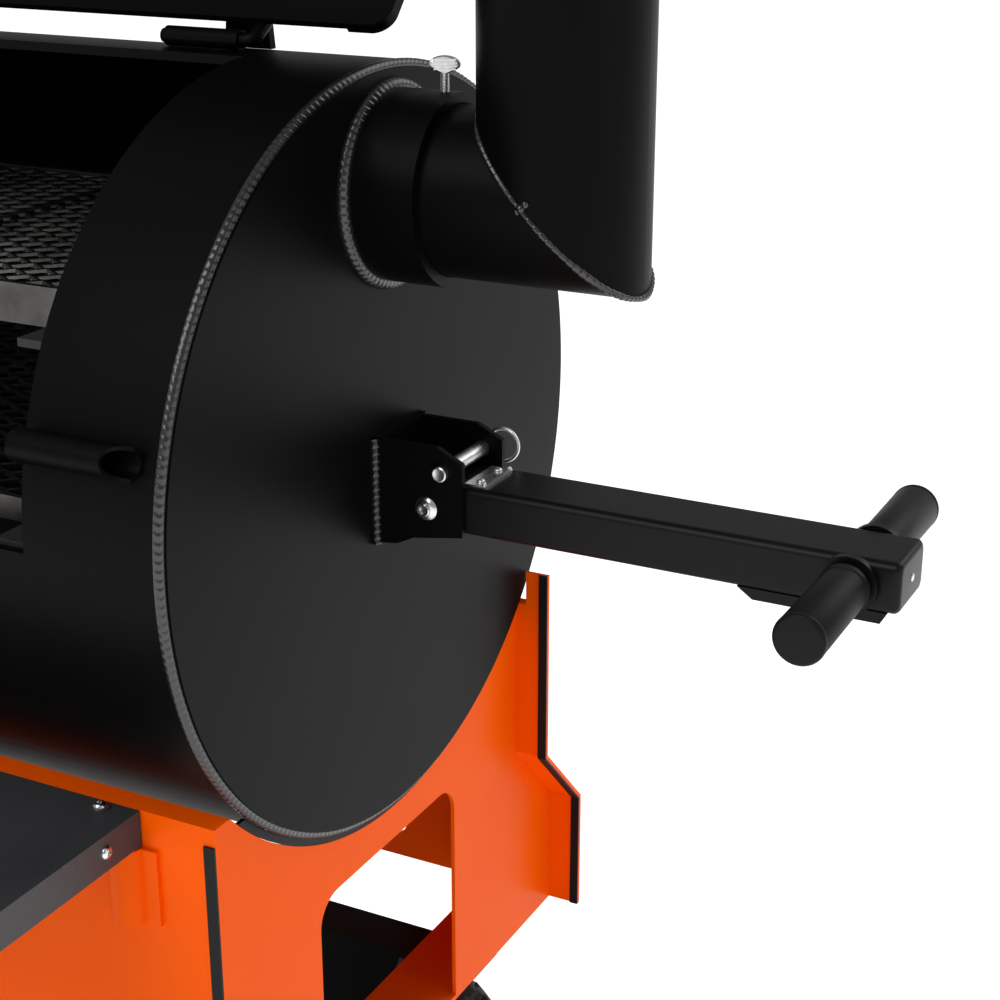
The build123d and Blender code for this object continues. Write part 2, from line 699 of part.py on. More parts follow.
HANGER_YS = (-100.0, 140.0)
POST = 60.0
POST_HEIGHT = CASTER_DROP - 10.0
with BuildPart() as underframe:
    for y in HANGER_YS:
        with BuildSketch(front(y, WHEEL_X, AXLE_Z)):
            with BuildLine():
                Polyline(
                    (-22, -18),
                    (22, -18),
                    (90, CART_LOW - AXLE_Z),
                    (-50, CART_LOW - AXLE_Z),
                    close=True,
                )
            make_face()
            Circle(AXLE_RADIUS, mode=Mode.SUBTRACT)
        extrude(amount=6)
    for y in (-118.0, 122.0):
        with Locations(Location(at(LEFT / 2, y, CART_LOW))):
            Box(
                RIGHT_PANEL - LEFT_PANEL - 2 * SHEET,
                40,
                5,
                align=(Align.CENTER, Align.MIN, Align.MAX),
            )
    for y in WHEEL_YS:
        with Locations(Location(at(CASTER_X, y - 12 if y > 0 else y + 12, CASTER_PLATE_Z))):
            Box(110, 100, 5, align=(Align.CENTER, Align.CENTER, Align.MAX))
        with Locations(Location(at(CASTER_X, y, CASTER_PLATE_Z - 5))):
            Box(POST, POST, POST_HEIGHT, align=(Align.CENTER, Align.CENTER, Align.MAX))
            Box(
                POST - 2 * SHEET,
                POST - 2 * SHEET,
                POST_HEIGHT,
                align=(Align.CENTER, Align.CENTER, Align.MAX),
                mode=Mode.SUBTRACT,
            )
        with Locations(Location(at(CASTER_X, y, CASTER_TOP))):
            Box(100, 85, 5, align=(Align.CENTER, Align.CENTER, Align.MIN))
        with Locations(Location(at(CASTER_X, y, CASTER_TOP))):
            Cylinder(9, 16, align=(Align.CENTER, Align.CENTER, Align.MAX))


RIM_RADIUS = 100.0
CASTER_RIM = 72.0
AXLE_BORE = 8.05
CASTER_BORE = 6.05


def make_rim(x, y, z, radius, width, bore):
    """A wheel rim: a hub and a pierced disc inside a short drum, bored for its axle."""
    with BuildPart() as rim:
        with BuildSketch(front(y + width / 2 - 8, x, z)):
            Circle(radius)
            Circle(radius - 4, mode=Mode.SUBTRACT)
        extrude(amount=width - 16)
        with BuildSketch(front(y + 2, x, z)):
            Circle(radius - 2)
            with PolarLocations(radius * 0.62, 5):
                Circle(radius * 0.16, mode=Mode.SUBTRACT)
        extrude(amount=4)
        with BuildSketch(front(y + width / 2, x, z)):
            Circle(bore + 9)
        extrude(amount=width)
        with BuildSketch(front(y + width / 2, x, z)):
            Circle(bore)
        extrude(amount=width, mode=Mode.SUBTRACT)
    return rim


def make_tyre(x, y, z, radius, inner, width, shoulder):
    """A tyre: a rounded ring about a level axle."""
    with BuildPart() as tyre:
        with BuildSketch(across(x, y, z)):
            with Locations((0, (radius + inner) / 2)):
                RectangleRounded(width, radius - inner, shoulder)
        revolve(axis=Axis(at(x, y, z), (0, 1, 0)))
    return tyre


wheel_rim_front, wheel_rim_back = (
    make_rim(WHEEL_X, y, AXLE_Z, RIM_RADIUS, WHEEL_WIDTH, AXLE_BORE) for y in WHEEL_YS
)
wheel_tyre_front, wheel_tyre_back = (
    make_tyre(WHEEL_X, y, AXLE_Z, WHEEL_RADIUS, RIM_RADIUS, WHEEL_WIDTH, 24) for y in WHEEL_YS
)
caster_rim_front, caster_rim_back = (
    make_rim(WHEEL_AT, y, CASTER_AXLE_Z, CASTER_RIM, CASTER_WIDTH, CASTER_BORE) for y in WHEEL_YS
)
caster_tyre_front, caster_tyre_back = (
    make_tyre(WHEEL_AT, y, CASTER_AXLE_Z, CASTER_RADIUS, CASTER_RIM, CASTER_WIDTH, 8)
    for y in WHEEL_YS
)


def make_caster_fork(y):
    """A swivel fork: a crown round the kingpin, two cheeks and the wheel's axle."""
    crown = CASTER_TOP - 1
    with BuildPart() as fork:
        with Locations(Location(at(CASTER_X, y, crown))):
            Cylinder(30, 14, align=(Align.CENTER, Align.CENTER, Align.MAX))
        with Locations(Location(at(CASTER_X - 15, y, crown - 14))):
            Box(70, 74, 5, align=(Align.CENTER, Align.CENTER, Align.MAX))
        with Locations(Location(at(CASTER_X, y, crown))):
            Cylinder(9.05, 60, mode=Mode.SUBTRACT)
        for side in (-1, 1):
            with BuildSketch(front(y + side * 34.5 + 2.5)):
                with BuildLine():
                    Polyline(
                        (CASTER_X - 50, crown - 15),
                        (CASTER_X + 20, crown - 15),
                        (WHEEL_AT + 14, CASTER_AXLE_Z - 14),
                        (WHEEL_AT - 14, CASTER_AXLE_Z - 14),
                        close=True,
                    )
                make_face()
            extrude(amount=5)
        with BuildSketch(front(y + 44, WHEEL_AT, CASTER_AXLE_Z)):
            Circle(6)
        extrude(amount=88)
    return fork


caster_fork_front, caster_fork_back = (make_caster_fork(y) for y in WHEEL_YS)

# ---- lid ----
LID_INNER = DRUM_RADIUS + LID_GAP
LID_WALL = 5.0
LID_RIGHT = DOOR_RIGHT + LID_OVERLAP
LID_LEFT = DOOR_LEFT - LID_OVERLAP
LID_SPAN = LID_RIGHT - LID_LEFT
LID_OUTER = LID_INNER + LID_WALL
LID_CORNER = 14.0
NOTCH_LOW = 9.0  # the notch round the probe port, in degrees above the front
NOTCH_HIGH = 19.0


def lid_sheet(inner, outer):
    """The lid's whole outline between two radii, with its corners rounded."""
    with BuildPart() as sheet:
        with BuildSketch(lid_plane(LID_LEFT)):
            add(band(inner, outer, LID_LOW, LID_HIGH))
        extrude(amount=LID_SPAN)
        corners = [e for e in sheet.edges().filter_by(GeomType.LINE) if e.length < 2 * LID_WALL]
        fillet(corners, LID_CORNER)
    return sheet.part


def probe_notch():
    """What is cut from the lid where it closes over the probe port."""
    with BuildPart() as notch:
        with BuildSketch(lid_plane(DOOR_RIGHT - 2)):
            add(band(LID_INNER - LID_WALL, LID_OUTER + LID_WALL, NOTCH_LOW, NOTCH_HIGH))
        extrude(amount=LID_OVERLAP + 10)
    return notch.part


with BuildPart() as lid_shell:
    add(lid_sheet(LID_INNER, LID_OUTER))
    add(probe_notch(), mode=Mode.SUBTRACT)

FLANGE_WIDTH = 30.0
FLANGE_THICK = 3.0
with BuildPart() as lid_flange:
    add(lid_sheet(LID_OUTER, LID_OUTER + FLANGE_THICK))
    with BuildSketch(lid_plane(LID_LEFT + FLANGE_WIDTH)):
        add(band(LID_OUTER - 1, LID_OUTER + LID_WALL, LID_LOW + 6, LID_HIGH + 2))
    extrude(amount=LID_SPAN - 2 * FLANGE_WIDTH, mode=Mode.SUBTRACT)
    add(probe_notch(), mode=Mode.SUBTRACT)

ROD_ARM = 9.0
ROD_LEFT = -32.0  # the rod's ends, from the middle of its hinge tube
ROD_RIGHT = 42.0
with BuildPart() as lid_rods:
    for x in HINGE_XS:
        with BuildSketch(across(x + ROD_LEFT, HINGE_Y, HINGE_Z)):
            Circle(HINGE_ROD)
        extrude(amount=ROD_RIGHT - ROD_LEFT)
        with BuildSketch(lid_plane(x + ROD_RIGHT - ROD_ARM)):
            Circle(HINGE_ROD)
            add(band(LID_OUTER, LID_OUTER + ROD_ARM, 78, LID_HIGH))
            with BuildLine():
                Polyline((-15, 0), (0, -HINGE_ROD), (0, HINGE_ROD), (-15, 8), close=True)
            make_face()
        extrude(amount=ROD_ARM)

HANDLE_R = 62.0
HANDLE_ANGLE = 6.0
HANDLE_SPAN = 420.0
with BuildPart() as lid_handle:
    for x in (LEFT / 2 - HANDLE_SPAN / 2, LEFT / 2 + HANDLE_SPAN / 2 - 8):
        with BuildSketch(lid_plane(x)):
            add(band(LID_OUTER, LID_OUTER + HANDLE_R, 7, 14))
        extrude(amount=8)
    with BuildSketch(lid_plane(LEFT / 2 - HANDLE_SPAN / 2 - 40)):
        with Locations(lid_point(LID_OUTER + HANDLE_R, 10.5)):
            Circle(11)
    extrude(amount=HANDLE_SPAN + 80)

GAUGE_ANGLE = 52.0
turn = radians(LID_OPEN)
gauge_up = radians(GAUGE_ANGLE)
gauge_u, gauge_v = lid_point(LID_OUTER, GAUGE_ANGLE)
GAUGE_POINT = at(
    LEFT / 2,
    HINGE_Y + gauge_u * cos(turn) + gauge_v * sin(turn),
    HINGE_Z - gauge_u * sin(turn) + gauge_v * cos(turn),
)
GAUGE_OUT = (
    0,
    -cos(gauge_up) * cos(turn) + sin(gauge_up) * sin(turn),
    cos(gauge_up) * sin(turn) + sin(gauge_up) * cos(turn),
)
GAUGE_RADIUS = 38.0
DIAL_RADIUS = 34.0
GAUGE_PLANE = Plane(origin=GAUGE_POINT, x_dir=(1, 0, 0), z_dir=GAUGE_OUT)
with BuildPart() as gauge_case:
    with BuildSketch(GAUGE_PLANE):
        Circle(GAUGE_RADIUS)
    extrude(amount=14)
    with BuildSketch(GAUGE_PLANE.offset(4)):
        Circle(DIAL_RADIUS)
    extrude(amount=20, mode=Mode.SUBTRACT)

with BuildPart() as gauge_dial:
    with BuildSketch(GAUGE_PLANE.offset(4)):
        Circle(DIAL_RADIUS)
    extrude(amount=2)
    with BuildSketch(GAUGE_PLANE.offset(6)):
        Circle(4)
        with Locations((10, 6)):
            Rectangle(34, 2.4, rotation=31)
    extrude(amount=1.5)

# ---- firebox ----
FIRE_RIGHT = LEFT - 0.5
FIRE_LEFT = FIRE_RIGHT - FIREBOX_LENGTH
FIRE_MID = (FIRE_LEFT + FIRE_RIGHT) / 2
FIRE_HEIGHT = FIREBOX_TOP - FIREBOX_LOW
FIRE_CENTRE_Z = (FIREBOX_TOP + FIREBOX_LOW) / 2
MOUTH = (300.0, 220.0)
MOUTH_Z = -150.0
SLOT = (300.0, 70.0)
SLOT_Z = -345.0
FIRE_HINGE_Y = -178.0
FIRE_HINGE_X = FIRE_LEFT - 9.0
DOOR_ZS = (MOUTH_Z - 80, MOUTH_Z + 80)
with BuildPart() as firebox_shell:
    with Locations(Location(at(FIRE_MID, 0, FIRE_CENTRE_Z))):
        Box(FIREBOX_LENGTH, 2 * FIREBOX_HALF, FIRE_HEIGHT)
        Box(
            FIREBOX_LENGTH - 2 * WALL,
            2 * FIREBOX_HALF - 2 * WALL,
            FIRE_HEIGHT - 2 * WALL,
            mode=Mode.SUBTRACT,
        )
    with BuildSketch(across(FIRE_LEFT - 1)):
        with Locations((0, MOUTH_Z)):
            RectangleRounded(*MOUTH, 8)
        with Locations((0, SLOT_Z)):
            Rectangle(*SLOT)
    extrude(amount=WALL + 2, mode=Mode.SUBTRACT)
    with BuildSketch(across(FIRE_RIGHT - WALL - 1)):
        with Locations((0, THROAT_Z)):
            RectangleRounded(*THROAT, 20)
    extrude(amount=WALL + 2, mode=Mode.SUBTRACT)
    for x in (FIRE_LEFT + WALL, FIRE_RIGHT - WALL - 20):
        with Locations(Location(at(x, 0, -290))):
            Box(20, 340, 5, align=(Align.MIN, Align.CENTER, Align.MAX))
    for z in DOOR_ZS:
        with BuildSketch(level(z - 34, FIRE_HINGE_X, FIRE_HINGE_Y)):
            Circle(8)
            Rectangle(9, 16, align=(Align.MIN, Align.CENTER))
        extrude(amount=28)
        with BuildSketch(level(z - 34, FIRE_HINGE_X, FIRE_HINGE_Y)):
            Circle(4)
        extrude(amount=62)

DOOR_THICK = 6.0
VENT_Y = 10.0  # the air vents in the door and their damper
VENT_Z = MOUTH_Z - 60.0
VENT_RADIUS = 14.0
VENT_STEP = 70.0
HANDLE_Y = 140.0
DOOR_X = FIRE_LEFT - 1.0
with BuildPart() as firebox_door:
    with BuildSketch(across(DOOR_X - DOOR_THICK)):
        with Locations((4, MOUTH_Z)):
            RectangleRounded(336, 256, 8)
        with Locations((VENT_Y, VENT_Z)):
            with GridLocations(VENT_STEP, 0, 3, 1):
                Circle(VENT_RADIUS, mode=Mode.SUBTRACT)
    extrude(amount=DOOR_THICK)
    for z in DOOR_ZS:
        with BuildSketch(level(z - 5, FIRE_HINGE_X, FIRE_HINGE_Y)):
            Circle(8)
            with Locations((0, 16)):
                Rectangle(6, 24)
            Circle(4.05, mode=Mode.SUBTRACT)
        extrude(amount=28)
    for z in (-1, 1):
        with BuildSketch(across(DOOR_X - DOOR_THICK - 8, VENT_Y, VENT_Z + z * 29)):
            Rectangle(150, 12)
        extrude(amount=8)
        with BuildSketch(across(DOOR_X - DOOR_THICK - 8, VENT_Y, VENT_Z + z * 24)):
            Rectangle(150, 14)
        extrude(amount=3)

DAMPER_X = DOOR_X - DOOR_THICK - 0.4
with BuildPart() as air_damper:
    with BuildSketch(across(DAMPER_X - 3, VENT_Y, VENT_Z)):
        Rectangle(210, 44)
        with GridLocations(VENT_STEP, 0, 3, 1):
            Circle(VENT_RADIUS, mode=Mode.SUBTRACT)
    extrude(amount=3)
    with BuildSketch(across(DAMPER_X - 16, VENT_Y + 90, VENT_Z)):
        Circle(9)
    extrude(amount=13)

with BuildPart() as door_handle:
    with BuildSketch(level(MOUTH_Z + 50, DOOR_X - DOOR_THICK, HANDLE_Y)):
        Rectangle(46, 12, align=(Align.MAX, Align.CENTER))
        with Locations((-34, 0)):
            Rectangle(12, 12, mode=Mode.SUBTRACT)
    extrude(amount=-8)
    with BuildSketch(level(MOUTH_Z + 60, DOOR_X - DOOR_THICK - 34, HANDLE_Y)):
        Circle(11)
    extrude(amount=-110)

with BuildPart() as fire_grate:
    with Locations(Location(at(FIRE_MID, 0, -285))):
        with GridLocations(0, 30, 1, 12):
            Box(FIREBOX_LENGTH - 30, 10, 10)
        with GridLocations(300, 0, 2, 1):
            Box(14, 350, 10)

PAN = (FIREBOX_LENGTH - 40.0, 284.0, 50.0)
PAN_LEFT = FIRE_LEFT - 2.0
with BuildPart() as ash_pan:
    with Locations(Location(at(PAN_LEFT, 0, SLOT_Z - 30))):
        Box(*PAN, align=(Align.MIN, Align.CENTER, Align.MIN))
    with Locations(Location(at(PAN_LEFT + 2, 0, SLOT_Z - 28))):
        Box(
            PAN[0] - 4,
            PAN[1] - 4,
            PAN[2],
            align=(Align.MIN, Align.CENTER, Align.MIN),
            mode=Mode.SUBTRACT,
        )
    with Locations(Location(at(PAN_LEFT, 0, SLOT_Z))):
        Box(3, 330, 84, align=(Align.MAX, Align.CENTER, Align.CENTER))
    with BuildSketch(front(60, PAN_LEFT - 3, SLOT_Z)):
        Rectangle(30, 10, align=(Align.MAX, Align.CENTER))
    extrude(amount=120)
    with BuildSketch(front(50, PAN_LEFT - 3, SLOT_Z)):
        Rectangle(22, 10, align=(Align.MAX, Align.CENTER))
    extrude(amount=100, mode=Mode.SUBTRACT)

# ---- files ----
os.makedirs("parts", exist_ok=True)

drum_shell.part.label = "drum_shell"
export_step(drum_shell.part, "parts/drum_shell.step")

end_plate_right.part.label = "end_plate_right"
export_step(end_plate_right.part, "parts/end_plate_right.step")

end_plate_left.part.label = "end_plate_left"
export_step(end_plate_left.part, "parts/end_plate_left.step")

door_jamb.part.label = "door_jamb"
export_step(door_jamb.part, "parts/door_jamb.step")

probe_port.part.label = "probe_port"
export_step(probe_port.part, "parts/probe_port.step")

hinge_tubes.part.label = "hinge_tubes"
export_step(hinge_tubes.part, "parts/hinge_tubes.step")

lid_stops.part.label = "lid_stops"
export_step(lid_stops.part, "parts/lid_stops.step")

grate_rails.part.label = "grate_rails"
export_step(grate_rails.part, "parts/grate_rails.step")

upper_grate.part.label = "upper_grate"
export_step(upper_grate.part, "parts/upper_grate.step")

lower_grate.part.label = "lower_grate"
export_step(lower_grate.part, "parts/lower_grate.step")

baffle_plate.part.label = "baffle_plate"
export_step(baffle_plate.part, "parts/baffle_plate.step")

drain_pipe.part.label = "drain_pipe"
export_step(drain_pipe.part, "parts/drain_pipe.step")

drain_lever.part.label = "drain_lever"
export_step(drain_lever.part, "parts/drain_lever.step")

chimney_collar.part.label = "chimney_collar"
export_step(chimney_collar.part, "parts/chimney_collar.step")

elbow_tube.part.label = "elbow_tube"
export_step(elbow_tube.part, "parts/elbow_tube.step")

stack_tube.part.label = "stack_tube"
export_step(stack_tube.part, "parts/stack_tube.step")

stack_cap.part.label = "stack_cap"
export_step(stack_cap.part, "parts/stack_cap.step")

thumb_screw.part.label = "thumb_screw"
export_step(thumb_screw.part, "parts/thumb_screw.step")

handle_bracket.part.label = "handle_bracket"
export_step(handle_bracket.part, "parts/handle_bracket.step")

pivot_bolt.part.label = "pivot_bolt"
export_step(pivot_bolt.part, "parts/pivot_bolt.step")

weld_beads.part.label = "weld_beads"
export_step(weld_beads.part, "parts/weld_beads.step")

lock_pin.part.label = "lock_pin"
export_step(lock_pin.part, "parts/lock_pin.step")

tow_arm.part.label = "tow_arm"
export_step(tow_arm.part, "parts/tow_arm.step")

arm_cap.part.label = "arm_cap"
export_step(arm_cap.part, "parts/arm_cap.step")

strike_plate.part.label = "strike_plate"
export_step(strike_plate.part, "parts/strike_plate.step")

crossbar.part.label = "crossbar"
export_step(crossbar.part, "parts/crossbar.step")

grips.part.label = "grips"
export_step(grips.part, "parts/grips.step")

grip_caps.part.label = "grip_caps"
export_step(grip_caps.part, "parts/grip_caps.step")

end_panel_right.part.label = "end_panel_right"
export_step(end_panel_right.part, "parts/end_panel_right.step")

end_panel_left.part.label = "end_panel_left"
export_step(end_panel_left.part, "parts/end_panel_left.step")

front_panel.part.label = "front_panel"
export_step(front_panel.part, "parts/front_panel.step")

rear_panel.part.label = "rear_panel"
export_step(rear_panel.part, "parts/rear_panel.step")

edge_trims.part.label = "edge_trims"
export_step(edge_trims.part, "parts/edge_trims.step")

front_shelf.part.label = "front_shelf"
export_step(front_shelf.part, "parts/front_shelf.step")

shelf_screws.part.label = "shelf_screws"
export_step(shelf_screws.part, "parts/shelf_screws.step")

shelf_sockets.part.label = "shelf_sockets"
export_step(shelf_sockets.part, "parts/shelf_sockets.step")

axle.part.label = "axle"
export_step(axle.part, "parts/axle.step")

underframe.part.label = "underframe"
export_step(underframe.part, "parts/underframe.step")

wheel_rim_front.part.label = "wheel_rim_front"
export_step(wheel_rim_front.part, "parts/wheel_rim_front.step")

wheel_rim_back.part.label = "wheel_rim_back"
export_step(wheel_rim_back.part, "parts/wheel_rim_back.step")

wheel_tyre_front.part.label = "wheel_tyre_front"
export_step(wheel_tyre_front.part, "parts/wheel_tyre_front.step")

wheel_tyre_back.part.label = "wheel_tyre_back"
export_step(wheel_tyre_back.part, "parts/wheel_tyre_back.step")

caster_rim_front.part.label = "caster_rim_front"
export_step(caster_rim_front.part, "parts/caster_rim_front.step")

caster_rim_back.part.label = "caster_rim_back"
export_step(caster_rim_back.part, "parts/caster_rim_back.step")

caster_tyre_front.part.label = "caster_tyre_front"
export_step(caster_tyre_front.part, "parts/caster_tyre_front.step")

caster_tyre_back.part.label = "caster_tyre_back"
export_step(caster_tyre_back.part, "parts/caster_tyre_back.step")

caster_fork_front.part.label = "caster_fork_front"
export_step(caster_fork_front.part, "parts/caster_fork_front.step")

caster_fork_back.part.label = "caster_fork_back"
export_step(caster_fork_back.part, "parts/caster_fork_back.step")

lid_shell.part.label = "lid_shell"
export_step(lid_shell.part, "parts/lid_shell.step")

lid_flange.part.label = "lid_flange"
export_step(lid_flange.part, "parts/lid_flange.step")

lid_rods.part.label = "lid_rods"
export_step(lid_rods.part, "parts/lid_rods.step")

lid_handle.part.label = "lid_handle"
export_step(lid_handle.part, "parts/lid_handle.step")

gauge_case.part.label = "gauge_case"
export_step(gauge_case.part, "parts/gauge_case.step")

gauge_dial.part.label = "gauge_dial"
export_step(gauge_dial.part, "parts/gauge_dial.step")

firebox_shell.part.label = "firebox_shell"
export_step(firebox_shell.part, "parts/firebox_shell.step")

firebox_door.part.label = "firebox_door"
export_step(firebox_door.part, "parts/firebox_door.step")

air_damper.part.label = "air_damper"
export_step(air_damper.part, "parts/air_damper.step")

door_handle.part.label = "door_handle"
export_step(door_handle.part, "parts/door_handle.step")

fire_grate.part.label = "fire_grate"
export_step(fire_grate.part, "parts/fire_grate.step")

ash_pan.part.label = "ash_pan"
export_step(ash_pan.part, "parts/ash_pan.step")
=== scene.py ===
"""The looks of the offset smoker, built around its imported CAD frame. Metres, Z up."""

import json
import math
import random

import bmesh
import bpy
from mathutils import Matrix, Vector


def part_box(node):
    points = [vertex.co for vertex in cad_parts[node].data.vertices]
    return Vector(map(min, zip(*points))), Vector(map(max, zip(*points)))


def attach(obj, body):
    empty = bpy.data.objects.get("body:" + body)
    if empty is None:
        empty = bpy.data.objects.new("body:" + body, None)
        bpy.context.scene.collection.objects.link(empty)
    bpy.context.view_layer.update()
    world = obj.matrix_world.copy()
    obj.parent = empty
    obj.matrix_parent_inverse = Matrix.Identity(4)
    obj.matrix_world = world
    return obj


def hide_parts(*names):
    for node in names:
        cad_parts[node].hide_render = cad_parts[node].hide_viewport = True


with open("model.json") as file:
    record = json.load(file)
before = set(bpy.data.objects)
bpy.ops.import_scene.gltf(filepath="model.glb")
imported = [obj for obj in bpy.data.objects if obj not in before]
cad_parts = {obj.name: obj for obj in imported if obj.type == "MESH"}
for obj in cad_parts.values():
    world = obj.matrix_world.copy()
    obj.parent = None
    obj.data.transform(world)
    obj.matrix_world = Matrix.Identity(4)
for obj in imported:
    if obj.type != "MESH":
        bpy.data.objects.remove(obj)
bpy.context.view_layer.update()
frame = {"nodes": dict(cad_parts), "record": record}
nodes = frame["nodes"]
random.seed(7)

MM = 0.001


# ---- places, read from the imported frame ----
def centre(node):
    """The middle of a CAD node's box."""
    low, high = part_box(node)
    return (low + high) / 2


plate_low, plate_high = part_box("end_plate_right")
DRUM = Vector((plate_high.x, centre("end_plate_right").y, centre("end_plate_right").z))
DRUM_LENGTH = plate_high.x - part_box("end_plate_left")[0].x
PLATE_R = (plate_high.z - plate_low.z) / 2


def at(x, y, z):
    """A point given in millimetres from the centre of the right end plate's face."""
    return DRUM + Vector((x, y, z)) * MM


# ---- materials ----
def new_material(name):
    """A named material, its node tree, its shader and a coordinate node."""
    mat = bpy.data.materials.new(name)
    mat.use_nodes = True
    tree = mat.node_tree
    shader = tree.nodes["Principled BSDF"]
    coords = tree.nodes.new("ShaderNodeTexCoord")
    return mat, tree, shader, coords


def noise(tree, coords, scale, detail=3.0, rough=0.55, stretch=None):
    """A noise texture in object coordinates, stretched where asked."""
    tex = tree.nodes.new("ShaderNodeTexNoise")
    tex.inputs["Scale"].default_value = scale
    tex.inputs["Detail"].default_value = detail
    tex.inputs["Roughness"].default_value = rough
    if stretch:
        mapping = tree.nodes.new("ShaderNodeMapping")
        mapping.inputs["Scale"].default_value = stretch
        tree.links.new(coords.outputs["Object"], mapping.inputs["Vector"])
        tree.links.new(mapping.outputs["Vector"], tex.inputs["Vector"])
    else:
        tree.links.new(coords.outputs["Object"], tex.inputs["Vector"])
    return tex


def ramp(tree, source, stops):
    """A colour ramp of (position, colour) stops fed by a factor."""
    node = tree.nodes.new("ShaderNodeValToRGB")
    tree.links.new(source, node.inputs["Fac"])
    elements = node.color_ramp.elements
    while len(elements) < len(stops):
        elements.new(0.5)
    for element, (position, colour) in zip(elements, stops):
        element.position = position
        element.color = (*colour, 1)
    return node.outputs["Color"]


def grey(value):
    """A grey as a red, green and blue colour."""
    return (value, value, value)


def bump(tree, shader, layers):
    """Stacks bumps, each a (height socket, strength, distance in metres)."""
    previous = None
    for height, strength, distance in layers:
        node = tree.nodes.new("ShaderNodeBump")
        node.inputs["Strength"].default_value = strength
        node.inputs["Distance"].default_value = distance
        tree.links.new(height, node.inputs["Height"])
        if previous:
            tree.links.new(previous, node.inputs["Normal"])
        previous = node.outputs["Normal"]
    tree.links.new(previous, shader.inputs["Normal"])


def coated(name, low, high, rough, spread=0.05, specular=0.5, peel=0.12, speckle=900.0, metal=0.0):
    """A powder coat: two close colours, an uneven gloss and a fine orange-peel surface."""
    mat, tree, shader, coords = new_material(name)
    broad = noise(tree, coords, 6.0, 4.0)
    fine = noise(tree, coords, speckle, 2.0)
    tree.links.new(
        ramp(tree, broad.outputs["Fac"], [(0.3, low), (0.7, high)]), shader.inputs["Base Color"]
    )
    tree.links.new(
        ramp(tree, broad.outputs["Fac"], [(0.25, grey(rough - spread)), (0.75, grey(rough + spread))]),
        shader.inputs["Roughness"],
    )
    shader.inputs["Specular IOR Level"].default_value = specular
    shader.inputs["Metallic"].default_value = metal
    bump(tree, shader, [(fine.outputs["Fac"], peel, 0.0004)])
    return mat


def metal(name, low, high, rough, stretch=(1, 1, 1), scale=400.0, depth=0.1):
    """Bare or plated metal with fine uneven streaks."""
    mat, tree, shader, coords = new_material(name)
    streaks = noise(tree, coords, scale, 4.0, 0.6, stretch)
    blotch = noise(tree, coords, 25.0, 3.0)
    tree.links.new(
        ramp(tree, blotch.outputs["Fac"], [(0.3, low), (0.7, high)]), shader.inputs["Base Color"]
    )
    tree.links.new(
        ramp(tree, streaks.outputs["Fac"], [(0.3, grey(rough - 0.08)), (0.7, grey(rough + 0.08))]),
        shader.inputs["Roughness"],
    )
    shader.inputs["Metallic"].default_value = 1.0
    bump(tree, shader, [(streaks.outputs["Fac"], depth, 0.0003)])
    return mat


BLACK = coated("drum_black", (0.0014,) * 3, (0.0022,) * 3, 0.42, 0.03, 0.065, 0.05)
ARM_BLACK = coated("arm_black", (0.0026,) * 3, (0.004,) * 3, 0.38, 0.03, 0.16, 0.09)
BEAD_BLACK = coated("bead_black", (0.006,) * 3, (0.011,) * 3, 0.28, 0.05, 0.8, 0.06)
ORANGE = coated("cart_orange", (0.92, 0.098, 0.0), (0.96, 0.108, 0.0), 0.32, 0.04, 0.04, 0.06)
SHELF = coated("shelf_grey", (0.030, 0.031, 0.033), (0.045, 0.046, 0.05), 0.5, 0.05, 0.5, 0.7, 420.0)
STEEL = metal("grate_steel", (0.06, 0.058, 0.056), (0.15, 0.146, 0.14), 0.4)
SOOT = coated("baffle_dark", (0.01,) * 3, (0.03, 0.028, 0.026), 0.6, 0.1, 0.4, 0.3, 300.0)
ZINC = metal("zinc", (0.62, 0.63, 0.63), (0.8, 0.81, 0.8), 0.34)
STAINLESS = metal("stainless", (0.6, 0.6, 0.6), (0.78, 0.78, 0.78), 0.2, (1, 1, 12))
GALVANISED = metal("galvanised", (0.38, 0.39, 0.4), (0.56, 0.57, 0.58), 0.42)
RUBBER = coated("rubber_black", (0.003,) * 3, (0.006,) * 3, 0.5, 0.04, 0.16, 0.2, 1400.0)
TYRE = coated("tyre_black", (0.016, 0.015, 0.014), (0.04, 0.037, 0.033), 0.68, 0.06, 0.35, 0.5, 500.0)
DIAL = coated("dial_white", (0.72, 0.72, 0.69), (0.8, 0.8, 0.77), 0.4)

BY_SLOT = {
    "drum_black": BLACK,
    "weld_bead": BEAD_BLACK,
    "cart_orange": ORANGE,
    "grate_steel": STEEL,
    "zinc": ZINC,
    "stainless": STAINLESS,
    "shelf_grey": SHELF,
    "rubber": RUBBER,
    "tyre": TYRE,
    "dial_white": DIAL,
    "galvanised": GALVANISED,
    "arm_black": ARM_BLACK,
}
slot_of = {s["node"]: s["material_slot"] for s in frame["record"]["subparts"]}
for name, obj in nodes.items():
    finish = SOOT if name in ("baffle_plate", "grate_rails", "fire_grate", "ash_pan") else None
    finish = finish or BY_SLOT[slot_of[name]]
    obj.data.materials.clear()
    obj.data.materials.append(finish)


# ---- mesh helpers ----
def piece(name, verts, faces, mat, body, stands_for=(), smooth=True):
    """A mesh piece that rides on a body, takes a finish and may stand for CAD nodes."""
    mesh = bpy.data.meshes.new(name)
    mesh.from_pydata([tuple(v) for v in verts], [], faces)
    mesh.update()
    obj = bpy.data.objects.new(name, mesh)
    bpy.context.scene.collection.objects.link(obj)
    mesh.materials.append(mat)
    if smooth:
        mesh.polygons.foreach_set("use_smooth", [True] * len(mesh.polygons))
    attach(obj, body)
    if stands_for:
        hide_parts(*stands_for)
    return obj


